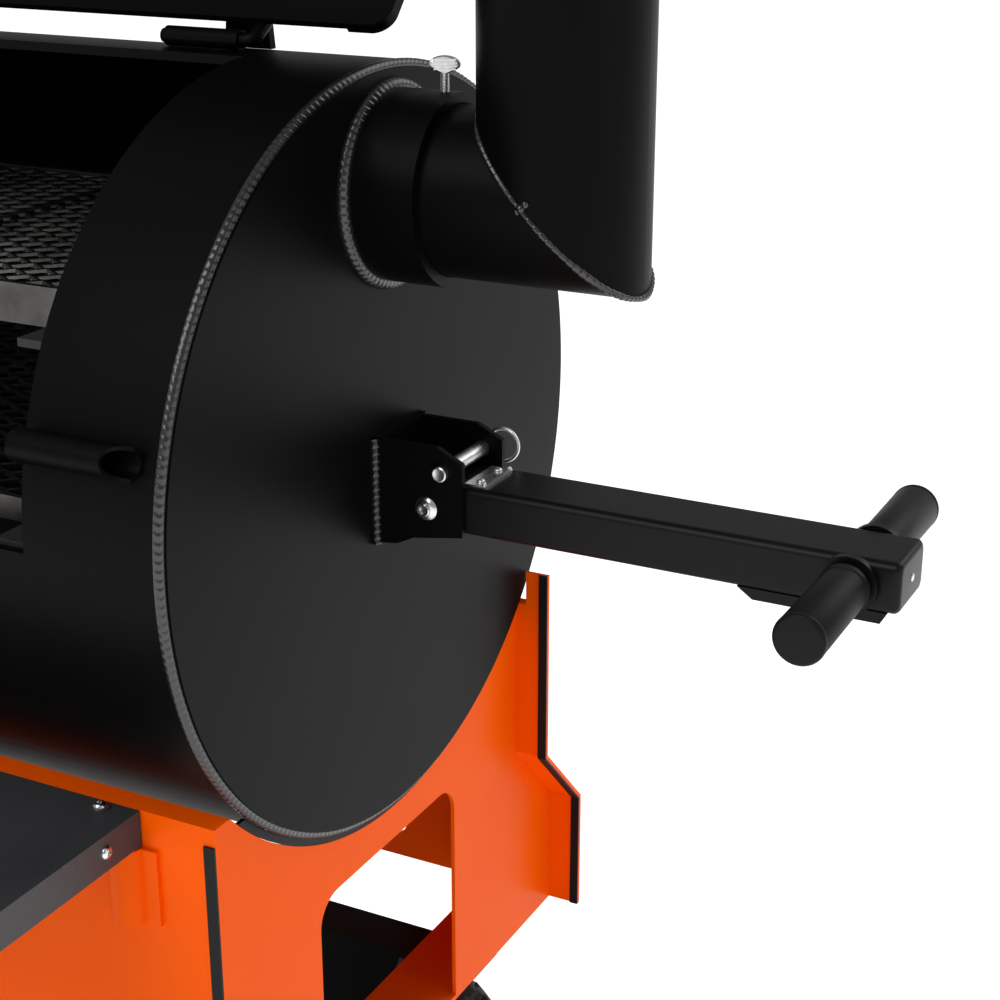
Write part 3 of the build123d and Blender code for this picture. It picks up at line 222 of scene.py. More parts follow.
def grid_faces(rows, columns, wrap_rows=False, wrap_columns=False):
    """Quads over a grid of points stored row by row."""
    faces = []
    for i in range(rows if wrap_rows else rows - 1):
        for j in range(columns if wrap_columns else columns - 1):
            a = i * columns + j
            b = i * columns + (j + 1) % columns
            c = ((i + 1) % rows) * columns + (j + 1) % columns
            d = ((i + 1) % rows) * columns + j
            faces.append((a, b, c, d))
    return faces


def capped_faces(rows, around):
    """Faces of a closed skin over rings of points, with a cap at each end."""
    faces = grid_faces(rows, around, False, True)
    faces.append(tuple(range(around))[::-1])
    faces.append(tuple((rows - 1) * around + k for k in range(around)))
    return faces


class Build:
    """Collects vertices and faces of several shapes into one piece."""

    def __init__(self):
        self.verts = []
        self.faces = []

    def add(self, verts, faces):
        start = len(self.verts)
        self.verts += [Vector(v) for v in verts]
        self.faces += [tuple(start + i for i in f) for f in faces]

    def box(self, low, high):
        (x0, y0, z0), (x1, y1, z1) = low, high
        corners = [
            (x0, y0, z0), (x1, y0, z0), (x1, y1, z0), (x0, y1, z0),
            (x0, y0, z1), (x1, y0, z1), (x1, y1, z1), (x0, y1, z1),
        ]
        sides = [(0, 3, 2, 1), (4, 5, 6, 7), (0, 1, 5, 4), (1, 2, 6, 5), (2, 3, 7, 6), (3, 0, 4, 7)]
        self.add(corners, sides)

    def beam(self, start, end, width, depth, up):
        """A straight bar of a flat section between two points."""
        along = (end - start).normalized()
        side = along.cross(up).normalized() * width / 2
        top = side.cross(along).normalized() * depth / 2
        around = ((-1, -1), (1, -1), (1, 1), (-1, 1))
        corners = [p + s * side + t * top for p in (start, end) for s, t in around]
        sides = [(0, 1, 2, 3), (7, 6, 5, 4), (0, 4, 5, 1), (1, 5, 6, 2), (2, 6, 7, 3), (3, 7, 4, 0)]
        self.add(corners, sides)

    def lathe(self, origin, axis, profile, steps=48):
        """Turns a (along, radius) profile about an axis and closes its ends."""
        axis = Vector(axis).normalized()
        side = axis.orthogonal().normalized()
        other = axis.cross(side)
        points = []
        for along, radius in profile:
            for k in range(steps):
                turn = 2 * math.pi * k / steps
                points.append(
                    origin + axis * along + (side * math.cos(turn) + other * math.sin(turn)) * radius
                )
        self.add(points, capped_faces(len(profile), steps))

    def piece(self, name, mat, body, slot, stands_for=(), smooth=True):
        """Makes the collected shapes one piece."""
        return piece(name, self.verts, self.faces, mat, body, stands_for, smooth)


def tidy_normals(obj, angle=35.0):
    """Makes a piece's faces point outwards and shades it smooth up to an angle."""
    work = bmesh.new()
    work.from_mesh(obj.data)
    bmesh.ops.recalc_face_normals(work, faces=work.faces)
    work.to_mesh(obj.data)
    work.free()
    obj.data.polygons.foreach_set("use_smooth", [True] * len(obj.data.polygons))
    obj.data.set_sharp_from_angle(angle=math.radians(angle))


for obj in nodes.values():
    obj.data.polygons.foreach_set("use_smooth", [True] * len(obj.data.polygons))
    obj.data.set_sharp_from_angle(angle=math.radians(25))


# ---- weld beads ----
BEAD_STEPS = 9
RIPPLE_SAMPLES = 6


def bead(build, spots, radius, pitch, closed, ripple=0.16):
    """A welded fillet: spots are (corner, first leg, second leg), ripples are V-shaped."""
    rows = []
    length = 0.0
    jitter = 0.0
    for i, (corner, first, second) in enumerate(spots):
        if i:
            length += (corner - spots[i - 1][0]).length
        jitter = 0.9 * jitter + random.uniform(-0.02, 0.02)
        for j in range(BEAD_STEPS):
            across = j / (BEAD_STEPS - 1)
            turn = across * math.pi / 2
            phase = length / pitch + 0.75 * abs(across - 0.5) + jitter
            wave = 1 - (phase % 1.0)
            swell = radius * (1 - ripple + ripple * wave * math.sin(math.pi * across))
            rows.append(corner + (first * math.cos(turn) + second * math.sin(turn)) * swell)
    build.add(rows, grid_faces(len(spots), BEAD_STEPS, closed))


def ring_spots(origin, axis, radius, pitch):
    """Corners round a ring whose fillet stands on the axis side and outwards."""
    axis = Vector(axis)
    count = int(2 * math.pi * radius / pitch)
    steps = count * RIPPLE_SAMPLES
    spots = []
    for k in range(steps):
        turn = 2 * math.pi * k / steps
        out = Vector((0, math.cos(turn), math.sin(turn)))
        spots.append((origin + out * radius, axis, out))
    return spots, 2 * math.pi * radius / count


END_PLATE = 6.0
RIM_BEAD = 5.6 * MM
RIM_PITCH = 5.2 * MM
COLLAR_BEAD = 7.0 * MM
COLLAR_PITCH = 4.6 * MM
BRACKET_BEAD = 6.2 * MM
BRACKET_PITCH = 4.8 * MM
beads = Build()
for side, x in ((1, -END_PLATE), (-1, -DRUM_LENGTH / MM + END_PLATE)):
    spots, pitch = ring_spots(at(x, 0, 0), (side, 0, 0), PLATE_R, RIM_PITCH)
    bead(beads, spots, RIM_BEAD, pitch, True)
collar_low, collar_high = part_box("chimney_collar")
COLLAR_R = (collar_high.z - collar_low.z) / 2
CHIMNEY = centre("chimney_collar")
CHIMNEY.x = DRUM.x
spots, pitch = ring_spots(CHIMNEY, (1, 0, 0), COLLAR_R - 0.2 * MM, COLLAR_PITCH)
bead(beads, spots, COLLAR_BEAD, pitch, True)
bracket_low, bracket_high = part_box("handle_bracket")
bracket_tall = bracket_high.z - bracket_low.z
for side, y in ((-1, bracket_low.y), (1, bracket_high.y)):
    count = int(bracket_tall / (0.8 * MM))
    spots = [
        (
            Vector((DRUM.x, y, bracket_low.z + bracket_tall * k / count)),
            Vector((1, 0, 0)),
            Vector((0, side, 0)),
        )
        for k in range(count + 1)
    ]
    bead(beads, spots, BRACKET_BEAD, BRACKET_PITCH, False, 0.34)
beads.piece("weld_bead_rows", BEAD_BLACK, "smoker", "weld_bead", ("weld_beads",))

# the chimney's mitre seam
stack_low, stack_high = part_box("stack_tube")
TUBE_R = (stack_high.x - stack_low.x) / 2
STACK_X = (stack_high.x + stack_low.x) / 2
seam = Build()
SEAM_STEPS = 900
SEAM_SIDES = 8
SEAM_RIPPLES = 85
rows = []
for k in range(SEAM_STEPS):
    turn = 2 * math.pi * k / SEAM_STEPS
    out = Vector((math.cos(turn), math.sin(turn), 0))
    spot = Vector((STACK_X + TUBE_R * out.x, DRUM.y + TUBE_R * out.y, CHIMNEY.z - TUBE_R * out.x))
    along = Vector((-math.sin(turn), math.cos(turn), math.sin(turn))).normalized()
    normal = Vector((out.x, out.y, -out.x)).normalized()
    normal = (normal - along * normal.dot(along)).normalized()
    side = along.cross(normal)
    ripple = 0.82 + 0.18 * (1 - (k / SEAM_STEPS * SEAM_RIPPLES) % 1.0)
    swell = (2.5 + 0.35 * math.sin(5 * turn) + 0.25 * math.sin(13 * turn + 1)) * MM * ripple
    for j in range(SEAM_SIDES):
        roll = 2 * math.pi * j / SEAM_SIDES
        around = normal * math.cos(roll) + side * math.sin(roll)
        rows.append(spot - normal * 0.6 * MM + around * swell)
seam.add(rows, grid_faces(SEAM_STEPS, SEAM_SIDES, True, True))
NUB = Vector((STACK_X, DRUM.y - TUBE_R, CHIMNEY.z)) + Vector((-3, -0.6, 5)) * MM
NUB_BLOBS = ((0, 0, 3.0), (3.0, 2.6, 2.5), (-2.4, -2.2, 2.0))  # x, z and radius of each blob
for x, z, radius in NUB_BLOBS:
    spot = NUB + Vector((x, 0.4, z)) * MM
    profile = []
    for degrees in range(0, 181, 20):
        turn = math.radians(degrees)
        profile.append((-radius * math.cos(turn) * MM, max(radius * math.sin(turn), 0.01) * MM))
    seam.lathe(spot, (0, -1, 0), profile, 14)
seam.piece("mitre_weld", BEAD_BLACK, "chimney", "weld_bead")


# ---- expanded-metal grates ----
MESH_LONG = 36 * MM
MESH_SHORT = 8.5 * MM
STRAND = 2.6 * MM
STRAND_THICK = 2.2 * MM
STRAND_LIFT = 0.9 * MM


def expanded_grate(name, node, body, lip):
    """A framed sheet of expanded metal in place of a plain grate."""
    low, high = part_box(node)
    build = Build()
    thick = 6 * MM
    floor = low.z
    edge = 10 * MM
    mid = floor + thick / 2
    build.box((low.x, low.y, floor), (high.x, low.y + 4 * MM, floor + lip))
    build.box((low.x, high.y - edge, floor), (high.x, high.y, floor + thick))
    build.box((low.x, low.y, floor), (low.x + edge, high.y, floor + thick))
    build.box((high.x - edge, low.y, floor), (high.x, high.y, floor + thick))
    for part in (0.33, 0.67):
        x = low.x + (high.x - low.x) * part
        build.box((x - 4 * MM, low.y, floor), (x + 4 * MM, high.y, floor + 4 * MM))
    columns = int((high.x - low.x - edge) / MESH_LONG * 2)
    rows_count = int((high.y - low.y - edge) / MESH_SHORT)
    step_x = (high.x - low.x - edge) / columns
    step_y = (high.y - low.y - edge) / rows_count
    up = Vector((0, 0, 1))
    for i in range(columns):
        for j in range(rows_count):
            x = low.x + edge / 2 + i * step_x
            y = low.y + edge / 2 + j * step_y
            rise = (i + j) % 2
            lift = STRAND_LIFT if rise else -STRAND_LIFT
            start = Vector((x, y + rise * step_y, mid + lift))
            end = Vector((x + step_x, y + (1 - rise) * step_y, mid - lift))
            tilt = Vector((0, 0.55 if rise else -0.55, 1))
            build.beam(start, end, STRAND, STRAND_THICK, (up + tilt * 0.4).normalized())
    build.piece(name, STEEL, body, "grate_steel", (node,), False)


expanded_grate("warming_grate_mesh", "upper_grate", "warming_grate", 24 * MM)
expanded_grate("cooking_grate_mesh", "lower_grate", "cooking_grate", 15 * MM)


# ---- tyres ----
TYRE_INNER = 100 * MM
TREAD_BLOCKS = 36
TREAD_LANES = 5
TREAD_DEPTH = 6 * MM
TREAD_HALF = 0.86  # how much of the tyre's half-width has tread


def tread_tyre(name, node, body):
    """A pneumatic tyre: a rounded carcass, a ribbed wall and rows of zigzag tread blocks."""
    low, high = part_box(node)
    middle = (low + high) / 2
    radius = (high.z - low.z) / 2
    half = (high.y - low.y) / 2
    steps = 288
    profile = []
    side_points = 26
    for k in range(side_points + 1):
        turn = math.pi * k / side_points
        y = -half * math.copysign(abs(math.cos(turn)) ** 0.75, math.cos(turn))
        r = TYRE_INNER + (radius - TYRE_INNER) * abs(math.sin(turn)) ** 0.55
        profile.append((y, r))
    rows = []
    for i in range(steps):
        turn = 2 * math.pi * i / steps
        for y, r in profile:
            across = y / half
            height = 0.0
            if abs(across) < TREAD_HALF and r > radius * 0.84:
                lane = (across + TREAD_HALF) / (2 * TREAD_HALF) * TREAD_LANES
                lane_gap = abs((lane % 1.0) - 0.5) > 0.40
                zigzag = 0.32 * (abs((lane % 1.0) - 0.5) * 2)
                stagger = 0.5 if int(lane) % 2 else 0.0
                spot = (turn / (2 * math.pi) * TREAD_BLOCKS + stagger + zigzag) % 1.0
                height = -TREAD_DEPTH if spot < 0.2 or lane_gap else 0.0
            rib = 0.7 * MM * math.sin(r / MM * 0.9) if abs(across) > 0.9 else 0.0
            out = Vector((math.cos(turn), 0, math.sin(turn)))
            rows.append(middle + Vector((0, y, 0)) + out * (r + height + rib * 0.4 - 0.3 * MM))
    build = Build()
    build.add(rows, grid_faces(steps, len(profile), True, False))
    obj = build.piece(name, TYRE, body, "tyre", (node,))
    obj.data.set_sharp_from_angle(angle=math.radians(32))


tread_tyre("big_tyre_front", "wheel_tyre_front", "wheel_front")
tread_tyre("big_tyre_back", "wheel_tyre_back", "wheel_back")


# ---- rods and turned pieces ----
def rounded_path(points, bend, steps=8):
    """A path through the points with each inner corner eased over a bend."""
    path = [points[0]]
    for before, corner, after in zip(points, points[1:], points[2:]):
        start = corner + (before - corner).normalized() * bend
        end = corner + (after - corner).normalized() * bend
        for k in range(steps + 1):
            t = k / steps
            path.append(start * (1 - t) ** 2 + corner * 2 * t * (1 - t) + end * t**2)
    path.append(points[-1])
    return path


def sweep(build, path, radius, sides=16):
    """A round rod along a path, with closed ends."""
    side = (path[1] - path[0]).normalized().orthogonal().normalized()
    rows = []
    for i, spot in enumerate(path):
        along = (path[min(i + 1, len(path) - 1)] - path[max(i - 1, 0)]).normalized()
        side = (side - along * side.dot(along)).normalized()
        other = along.cross(side)
        for k in range(sides):
            turn = 2 * math.pi * k / sides
            rows.append(spot + (side * math.cos(turn) + other * math.sin(turn)) * radius)
    build.add(rows, capped_faces(len(path), sides))


def turned(build, origin, axis, profile, steps=48):
    """A lathe shape given in millimetres."""
    build.lathe(origin, axis, [(a * MM, r * MM) for a, r in profile], steps)


def socket_head(build, origin, axis, radius, height):
    """A button-head screw with a round socket, sizes in millimetres."""
    dome = [(0, radius)]
    for k in range(1, 7):
        turn = math.radians(12 * k)
        rise = height * math.sin(turn) / math.sin(math.radians(72))
        dome.append((rise, radius * math.cos(turn) ** 0.7))
    rim = dome[-1][1]
    socket = [(height, rim * 0.86), (height * 0.45, rim * 0.84), (height * 0.4, 0.01)]
    turned(build, origin, axis, dome + socket, 36)


# ---- lid ----
JOINTS = {j["name"]: j for j in frame["record"]["behaviour"]["joints"]}
HINGE = Vector(JOINTS["lid_hinge"]["pos_m"])
LID_OPEN = math.radians(JOINTS["lid_hinge"]["range_deg"][1])
LID_INNER = 255.5  # the lid's inner radius about the drum when closed, in millimetres
LID_OUTER = LID_INNER + 5
BORDER = 17.0
PANEL_RAISE = 0.7
PANEL_CORNER = 20.0


def on_lid(x, radius, angle):
    """A point of the open lid: x in metres, radius in millimetres, angle in degrees when closed."""
    turn = math.radians(angle)
    closed = DRUM + Vector((0, -radius * math.cos(turn), radius * math.sin(turn))) * MM
    u, v = closed.y - HINGE.y, closed.z - HINGE.z
    return Vector((
        x,
        HINGE.y + u * math.cos(LID_OPEN) + v * math.sin(LID_OPEN),
        HINGE.z - u * math.sin(LID_OPEN) + v * math.cos(LID_OPEN),
    ))


lid_low, lid_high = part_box("lid_shell")
LID_ANGLES = (-3.0, 88.2)
NOTCH = (9.0, 19.0)
NOTCH_X = DRUM.x - 99 * MM


def lid_patch(build, x_from, x_to, low, high, corners):
    """A raised curved panel on the lid's inside; corners names its rounded ends."""
    columns = 60
    rows_count = 40
    degrees = math.degrees(1 / LID_INNER)
    top = []
    for i in range(columns + 1):
        x = x_from + (x_to - x_from) * i / columns
        near_left = (x - x_from) / MM if "left" in corners else PANEL_CORNER
        near_right = (x_to - x) / MM if "right" in corners else PANEL_CORNER
        reach = min(near_left, near_right, PANEL_CORNER)
        cut = PANEL_CORNER - math.sqrt(max(PANEL_CORNER**2 - (PANEL_CORNER - reach) ** 2, 0.0))
        low_here = low + cut * degrees * ("low" in corners)
        high_here = high - cut * degrees * ("high" in corners)
        for j in range(rows_count + 1):
            edge = i in (0, columns) or j in (0, rows_count)
            angle = low_here + (high_here - low_here) * j / rows_count
            top.append(on_lid(x, LID_INNER - (0.02 if edge else PANEL_RAISE), angle))
    build.add(top, grid_faces(columns + 1, rows_count + 1))


panel = Build()
border_turn = math.degrees(BORDER / LID_INNER)
panel_low = LID_ANGLES[0] + border_turn
panel_high = LID_ANGLES[1] - border_turn
panel_left = lid_low.x + BORDER * MM
panel_right = lid_high.x - BORDER * MM
lid_patch(panel, panel_left, NOTCH_X - 2 * MM, panel_low, panel_high, ("left", "low", "high"))
lid_patch(panel, NOTCH_X - 2 * MM, panel_right, NOTCH[1] + 1, panel_high, ("right", "high"))
lid_patch(panel, NOTCH_X - 2 * MM, panel_right, panel_low, NOTCH[0] - 1, ("right", "low"))
lid_panel = panel.piece("lid_inner_panel", BLACK, "lid", "drum_black")
lid_panel.data.set_sharp_from_angle(angle=math.radians(20))

# the bent rods that hang the lid
rods_low, rods_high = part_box("lid_rods")
ROD = 4.6  # a rod's radius
ROD_REACH = 74  # a rod's length along its hinge tube
rods = Build()
for start in (rods_low.x, rods_high.x - ROD_REACH * MM):
    end = start + (ROD_REACH - ROD - 0.3) * MM
    sweep(rods, rounded_path([
        Vector((start, HINGE.y, HINGE.z)),
        Vector((end, HINGE.y, HINGE.z)),
        on_lid(end, LID_OUTER + ROD, 86.0),
        on_lid(end, LID_OUTER + ROD, 78.6),
    ], 7 * MM), ROD * MM, 20)
rods.piece("lid_bent_rods", BLACK, "lid", "drum_black", ("lid_rods",))

# marks and needle of the thermometer
DIAL_ANGLE = 52.0
DIAL_LIFT = 6.2
DIAL_MARKS = 30
dial_middle = on_lid(DRUM.x - DRUM_LENGTH / 2, LID_OUTER + DIAL_LIFT, DIAL_ANGLE)
dial_out = (on_lid(0, 300, DIAL_ANGLE) - on_lid(0, 260, DIAL_ANGLE)).normalized()
dial_side = Vector((1, 0, 0))
dial_up = dial_out.cross(dial_side).normalized()
marks = Build()
for k in range(DIAL_MARKS + 1):
    turn = math.radians(225 - 270 * k / DIAL_MARKS)
    ray = dial_side * math.cos(turn) + dial_up * math.sin(turn)
    inner = 25.0 if k % 5 == 0 else 28.0
    marks.beam(
        dial_middle + ray * inner * MM, dial_middle + ray * 31.5 * MM, 1.1 * MM, 0.3 * MM, dial_out
    )
marks.piece("dial_marks", RUBBER, "lid", "rubber", (), False)
needle = Build()
turn = math.radians(208)
ray = dial_side * math.cos(turn) + dial_up * math.sin(turn)
needle.beam(
    dial_middle - ray * 8 * MM + dial_out * 0.6 * MM,
    dial_middle + ray * 24 * MM + dial_out * 0.6 * MM,
    1.8 * MM, 0.5 * MM, dial_out,
)
needle.lathe(dial_middle, dial_out, [(0, 4 * MM), (1.0 * MM, 4 * MM), (1.3 * MM, 3.4 * MM)], 24)
needle.piece("dial_needle", ORANGE, "lid", "cart_orange", (), False)

# ---- probe tube with a scooped right end ----
port_low, port_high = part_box("probe_port")
port = (port_low + port_high) / 2
PORT_R = (port_high.z - port_low.z) / 2
PORT_BORE = PORT_R - 2.4 * MM
SCOOP = 15 * MM
port_out = Vector((0, port.y - DRUM.y, port.z - DRUM.z)).normalized()
port_along = Vector((1, 0, 0)).cross(port_out)
tube = Build()
rings = []
PORT_STEPS = 60
for radius, ends in ((PORT_R, (0, 1)), (PORT_BORE, (1, 0))):
    for end in ends:
        for k in range(PORT_STEPS):
            turn = 2 * math.pi * k / PORT_STEPS
            out = port_out * math.cos(turn) + port_along * math.sin(turn)
            lift = max(0.0, math.cos(turn))
            x = port_high.x - SCOOP * lift**0.6 if end else port_low.x
            rings.append(Vector((x, port.y, port.z)) + out * radius)
tube.add(rings, grid_faces(4, PORT_STEPS, True, True))
scooped = tube.piece("probe_tube", BLACK, "smoker", "drum_black", ("probe_port",))
tidy_normals(scooped, 40)

# ---- thumb screw ----
screw_low, screw_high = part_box("thumb_screw")
screw = (screw_low + screw_high) / 2
SCREW_R = 2.9
THREAD_LENGTH = 17
THREAD_PITCH = 0.9
HEAD_HALF = 9.8
OUTLINE_STEPS = 40
spade = Build()
outline = []
for k in range(OUTLINE_STEPS):
    turn = 2 * math.pi * k / OUTLINE_STEPS
    wide = HEAD_HALF * math.cos(turn)
    tall = math.sin(turn)
    pinch = 1.0 if tall > -0.2 else 1.0 - 0.62 * ((-tall - 0.2) / 0.8) ** 1.2
    outline.append((wide * pinch, 5.6 * tall if tall > 0 else 5.8 * tall))
facing = Vector((math.cos(math.radians(24)), math.sin(math.radians(24)), 0))
through = Vector((-facing.y, facing.x, 0))
head_at = Vector((screw.x, screw.y, screw_high.z - 5.7 * MM))
layers = ((-2.2, 0.82), (-1.5, 0.96), (-0.7, 1.0), (0.7, 1.0), (1.5, 0.96), (2.2, 0.82))
for depth, grow in layers:
    for u, v in outline:
        spot = facing * u * grow + through * depth + Vector((0, 0, v * grow))
        spade.verts.append(head_at + spot * MM)
spade.faces += capped_faces(len(layers), len(outline))
for k in range(4):
    rise = (-2.4 + 1.9 * k) * MM
    half_width = (7.6 - 0.5 * abs(k - 2)) * MM
    for face in (-1, 1):
        spot = head_at + Vector((0, 0, rise)) + through * face * 2.1 * MM
        reach = facing * half_width
        spade.beam(spot - reach, spot + reach, 0.9 * MM, 1.0 * MM, Vector((0, 0, 1)))
thread = [(0, SCREW_R * 0.8)]
along = 0.4
while along < THREAD_LENGTH:
    thread += [(along, SCREW_R * 0.78), (along + THREAD_PITCH / 2, SCREW_R)]
    along += THREAD_PITCH
thread.append((THREAD_LENGTH, SCREW_R * 0.8))
turned(spade, Vector((screw.x, screw.y, screw_low.z)), (0, 0, 1), thread, 28)
spade_screw = spade.piece("spade_thumb_screw", ZINC, "collar_screw", "zinc", ("thumb_screw",))
tidy_normals(spade_screw, 35)

# ---- bracket hardware ----
bolt_low, bolt_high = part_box("pivot_bolt")
bolt = (bolt_low + bolt_high) / 2
BOLT_AT = Vector((bolt.x, bolt_low.y, bolt.z))
hardware = Build()
turned(hardware, BOLT_AT, (0, 1, 0), [
    (1.4, 0.01), (1.2, 2.2), (0.1, 2.4), (0.0, 3.8), (0.5, 4.3), (2.2, 4.4), (2.4, 5.6), (3.4, 7.4),
    (4.2, 8.0), (5.0, 8.0), (5.0, 4.9), (73.2, 4.9),
], 56)
nut = Vector((bolt.x, bracket_high.y, bolt.z))
for k in range(6):
    turn = math.radians(60 * k)
    out = Vector((math.cos(turn), 0, math.sin(turn)))
    start = nut + out * 3.4 * MM
    hardware.beam(start, start + Vector((0, 8 * MM, 0)), 7.9 * MM, 6.8 * MM, out)
pivot = hardware.piece("pivot_bolt_domed", STAINLESS, "smoker", "stainless", ("pivot_bolt",))
tidy_normals(pivot, 30)

pin_low, pin_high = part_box("lock_pin")
PIN = Vector((pin_low.x + 5 * MM, 0, (pin_low.z + pin_high.z) / 2))
RING = Vector((PIN.x + 9 * MM, pin_high.y - 5 * MM, PIN.z))
hitch = Build()
turned(hitch, Vector((PIN.x, pin_low.y, PIN.z)), (0, 1, 0), [
    (0.5, 0.01), (0.5, 2.6), (0.2, 3.4), (0.0, 4.2), (0.6, 5.0), (58, 5.0), (58.6, 4.4), (60.4, 4.4),
    (61, 5.0), (76.4, 5.0), (77.1, 4.2), (77.1, 0.01),
], 48)
RING_RADIUS = 11
RING_STEPS = 36
ring_path = []
for k in range(RING_STEPS + 1):
    turn = math.radians(150 - 300 * k / RING_STEPS)
    spring = 0.9 * math.sin(turn * 0.5)
    spot = Vector((RING_RADIUS * math.cos(turn), spring, RING_RADIUS * math.sin(turn)))
    ring_path.append(RING + spot * MM)
sweep(hitch, ring_path, 1.3 * MM, 14)
pin = hitch.piece("hitch_pin", ZINC, "pin", "zinc", ("lock_pin",))
tidy_normals(pin, 30)

plate_box_low, plate_box_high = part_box("strike_plate")
strike = Build()
mid_x = (plate_box_low.x + plate_box_high.x) / 2
base = plate_box_low.z
top = base + 1.2 * MM
strike.box((plate_box_low.x, plate_box_low.y, base), (plate_box_high.x, plate_box_high.y, top))
strike.box(
    (plate_box_high.x - 1.4 * MM, plate_box_low.y + 1 * MM, top),
    (plate_box_high.x, plate_box_high.y - 1 * MM, base + 2.2 * MM),
)
for y in (-12, 12):
    socket_head(strike, Vector((mid_x + 0.5 * MM, DRUM.y + y * MM, top)), (0, 0, 1), 2.9, 2.1)
for y in (plate_box_low.y + 1.5 * MM, plate_box_high.y - 1.5 * MM):
    socket_head(strike, Vector((plate_box_high.x - 1.6 * MM, y, top)), (0, 0, 1), 1.5, 2.1)
struck = strike.piece("strike_plate_screwed", ZINC, "tow_handle", "zinc", ("strike_plate",))
tidy_normals(struck, 30)

# ---- grips ----
grips_low, grips_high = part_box("grips")
GRIP = Vector(((grips_low.x + grips_high.x) / 2, DRUM.y, (grips_low.z + grips_high.z) / 2))
GRIP_IN = 34.0
GRIP_OUT = (grips_high.y - DRUM.y) / MM
GRIP_R = (grips_high.x - grips_low.x) / 2 / MM
sleeves = Build()
domes = Build()
for side in (-1, 1):
    turned(sleeves, GRIP, (0, side, 0), [
        (GRIP_IN, 11.2), (GRIP_IN, GRIP_R - 1.4), (GRIP_IN + 0.5, GRIP_R), (GRIP_IN + 4.5, GRIP_R),
        (GRIP_IN + 5.0, GRIP_R - 0.7), (GRIP_IN + 14, GRIP_R - 0.5), (GRIP_OUT - 1.0, GRIP_R - 0.15),
        (GRIP_OUT - 0.3, GRIP_R - 0.7), (GRIP_OUT - 0.2, 11.2),
    ], 72)
    cap = [(GRIP_OUT, 11), (GRIP_OUT, GRIP_R - 0.5)]
    cap += [(GRIP_OUT + 0.3, GRIP_R), (GRIP_OUT + 1.4, GRIP_R)]
    for k in range(1, 9):
        turn = math.radians(90 * k / 8)
        cap.append((GRIP_OUT + 1.4 + 2.9 * math.sin(turn), GRIP_R - 3.2 + 3.2 * math.cos(turn)))
    cap += [(GRIP_OUT + 4.6, GRIP_R - 7), (GRIP_OUT + 4.9, 4), (GRIP_OUT + 5.0, 0.01)]
    turned(domes, GRIP, (0, side, 0), cap, 72)
tidy_normals(sleeves.piece("grip_sleeves", RUBBER, "tow_handle", "rubber", ("grips",)), 40)
tidy_normals(domes.piece("grip_dome_caps", RUBBER, "tow_handle", "rubber", ("grip_caps",)), 40)

# ---- the arm's rounded end ----
cap_low, cap_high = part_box("arm_cap")
cap_mid = (cap_low + cap_high) / 2
half_w = (cap_high.y - cap_low.y) / 2
half_h = (cap_high.z - cap_low.z) / 2
arm_end = Build()
END_ROUND = 4.2 * MM
layers = [(0.0, 0.0)]
for k in range(1, 9):
    turn = math.radians(90 * k / 8)
    layers.append((END_ROUND * math.sin(turn), END_ROUND * (1 - math.cos(turn))))
ring_count = 0
for forward, inset in layers:
    loop = []
    for corner, (sy, sz) in enumerate(((1, 1), (-1, 1), (-1, -1), (1, -1))):
        radius = max(5 * MM - inset * 0.3, 3 * MM)
        for k in range(9):
            turn = math.radians(90 * corner + 90 * k / 8)
            loop.append(Vector((
                cap_low.x + forward,
                cap_mid.y + sy * (half_w - inset - radius) + radius * math.cos(turn),
                cap_mid.z + sz * (half_h - inset - radius) + radius * math.sin(turn),
            )))
    ring_count = len(loop)
    arm_end.verts += loop
arm_end.faces += capped_faces(len(layers), ring_count)
tidy_normals(arm_end.piece("arm_round_end", ARM_BLACK, "tow_handle", "arm_black", ("arm_cap",)), 40)
rivet = Build()
turned(rivet, Vector((cap_low.x + END_ROUND - 0.3 * MM, cap_mid.y, cap_mid.z)), (1, 0, 0), [
    (0, 2.6), (0.5, 2.6), (0.9, 2.0), (1.15, 1.0), (1.2, 0.01),
], 28)
tidy_normals(rivet.piece("arm_rivet", ZINC, "tow_handle", "zinc"), 40)

# ---- the slanted part of the rear edging ----
trims_low, trims_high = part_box("edge_trims")
slant = Build()
JOG_FROM = (189.5, -308.0)
JOG_TO = (254.0, -375.0)
for x in (trims_low.x + 3.5 * MM, trims_high.x - 3.5 * MM):
    start = Vector((x, DRUM.y + (JOG_FROM[0] - 1) * MM, DRUM.z + JOG_FROM[1] * MM))
    end = Vector((x, DRUM.y + (JOG_TO[0] - 1) * MM, DRUM.z + JOG_TO[1] * MM))
    slant.beam(start, end, 7 * MM, 1.5 * MM, (end - start).cross(Vector((1, 0, 0))))
slant.piece("edge_trim_slants", RUBBER, "smoker", "rubber", (), False)

# ---- shelf screws ----
screws_low, screws_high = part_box("shelf_screws")
HEAD_R = 4.5
HEAD_HIGH = 2.9
heads = Build()
for side, x in ((-1, screws_low.x), (1, screws_high.x)):
    top_spot = Vector((x - side * 27 * MM, screws_high.y - HEAD_R * MM, screws_high.z - 3 * MM))
    end_spot = Vector((x - side * 3 * MM, screws_low.y + HEAD_R * MM, screws_low.z + HEAD_R * MM))
    socket_head(heads, top_spot, (0, 0, 1), HEAD_R, HEAD_HIGH)
    socket_head(heads, end_spot, (side, 0, 0), HEAD_R, HEAD_HIGH)
shelf_heads = heads.piece(
    "shelf_button_screws", STAINLESS, "smoker", "stainless", ("shelf_screws",)
)
tidy_normals(shelf_heads, 35)

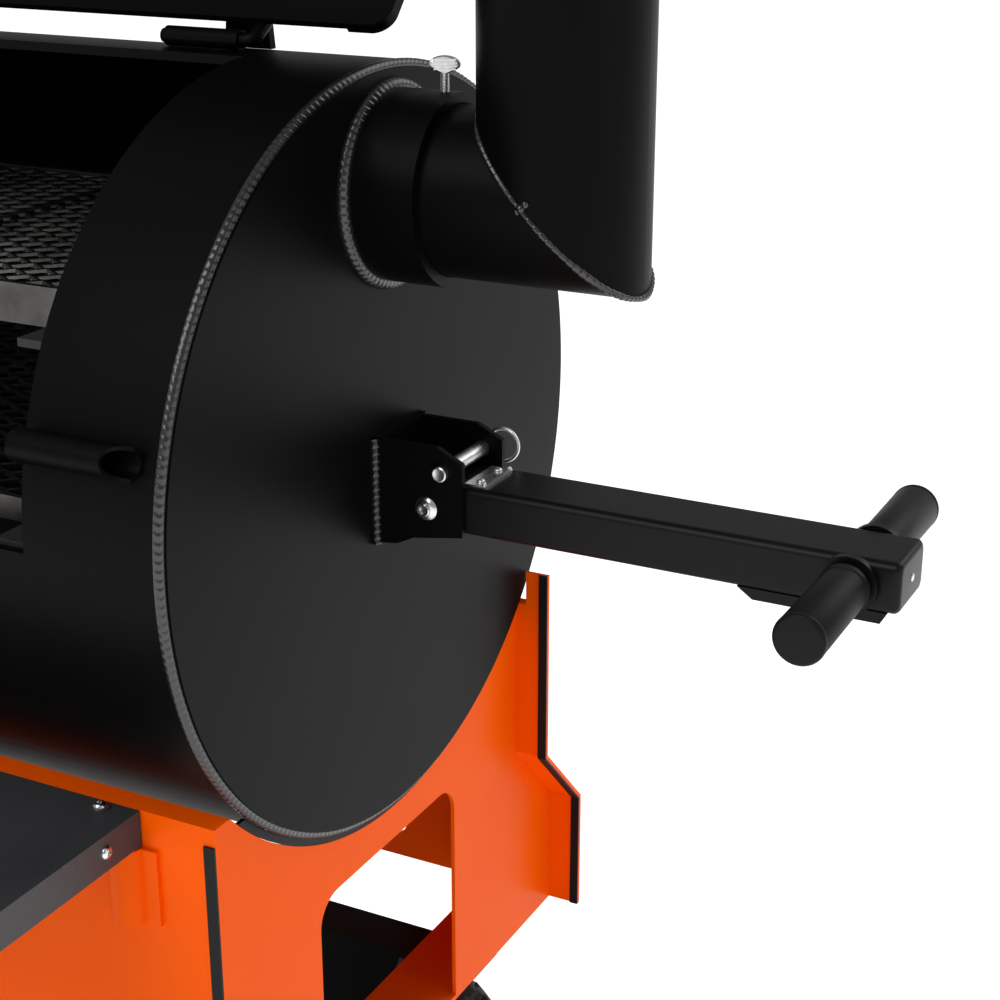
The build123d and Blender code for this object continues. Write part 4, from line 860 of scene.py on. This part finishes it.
# ---- stage, camera and light ----
FLOOR_SIZE = 60.0
FLOOR_SHADE = 0.7  # one over the reach of the painted shadow, a dimmer glow of the floor under the cart, in metres
floor_mesh = bpy.data.meshes.new("floor")
half = FLOOR_SIZE / 2
corners = [(-half, -half, 0), (half, -half, 0), (half, half, 0), (-half, half, 0)]
floor_mesh.from_pydata(corners, [], [(0, 1, 2, 3)])
floor = bpy.data.objects.new("floor", floor_mesh)
bpy.context.scene.collection.objects.link(floor)
floor_mat, floor_tree, floor_shader, floor_coords = new_material("floor_pale")
floor_shader.inputs["Base Color"].default_value = (0.86, 0.86, 0.86, 1)
floor_shader.inputs["Roughness"].default_value = 0.9
floor_shader.inputs["Specular IOR Level"].default_value = 0.0
floor_shader.inputs["Emission Color"].default_value = (1, 1, 1, 1)
# the floor glows, and glows less near the cart: a painted shadow under it
spot = floor_tree.nodes.new("ShaderNodeTexGradient")
spot.gradient_type = "SPHERICAL"
spread = floor_tree.nodes.new("ShaderNodeMapping")
spread.inputs["Location"].default_value = (0.1 * FLOOR_SHADE, 0, 0)
spread.inputs["Scale"].default_value = (FLOOR_SHADE, 2 * FLOOR_SHADE, FLOOR_SHADE)
floor_tree.links.new(floor_coords.outputs["Object"], spread.inputs["Vector"])
floor_tree.links.new(spread.outputs["Vector"], spot.inputs["Vector"])
# emission falls from 0.85 far out to 0.1 under the cart, the painted shadow
painted_shadow_glow = ramp(floor_tree, spot.outputs["Fac"], [(0.0, grey(0.85)), (0.8, grey(0.1))])
floor_tree.links.new(painted_shadow_glow, floor_shader.inputs["Emission Strength"])
floor_mesh.materials.append(floor_mat)

world = bpy.data.worlds.new("studio")
bpy.context.scene.world = world
world.use_nodes = True
world.node_tree.nodes["Background"].inputs["Color"].default_value = (1, 1, 1, 1)
world.node_tree.nodes["Background"].inputs["Strength"].default_value = 0.32


def area_light(name, place, target, size, power):
    """A rectangular lamp aimed at a target, with its power in watts."""
    light = bpy.data.lights.new(name, "AREA")
    light.shape = "RECTANGLE"
    light.size, light.size_y = size
    light.energy = power
    obj = bpy.data.objects.new(name, light)
    bpy.context.scene.collection.objects.link(obj)
    obj.location = place
    obj.rotation_euler = (Vector(target) - Vector(place)).to_track_quat("-Z", "Y").to_euler()


area_light("key", at(-600, -2600, 2400), at(-100, 0, 0), (2.2, 2.2), 55)
area_light("rim", at(1500, 2200, 1800), at(0, 0, 0), (1.6, 2.2), 22)
area_light("side", at(2600, -400, 900), at(0, 0, 0), (0.8, 2.0), 6)

CAMERA_AT = (597.05, -1017.72, 406.6)  # millimetres from the end plate's centre
camera_data = bpy.data.cameras.new("camera")
camera = bpy.data.objects.new("camera", camera_data)
bpy.context.scene.collection.objects.link(camera)
camera.location = at(*CAMERA_AT)
camera.rotation_euler = (math.radians(90 - 20.36), 0, math.radians(27.13))
camera_data.sensor_width = 36.0
camera_data.lens = 68.39
camera_data.clip_start = 0.02
bpy.context.scene.camera = camera
bpy.context.scene.view_settings.view_transform = "Standard"
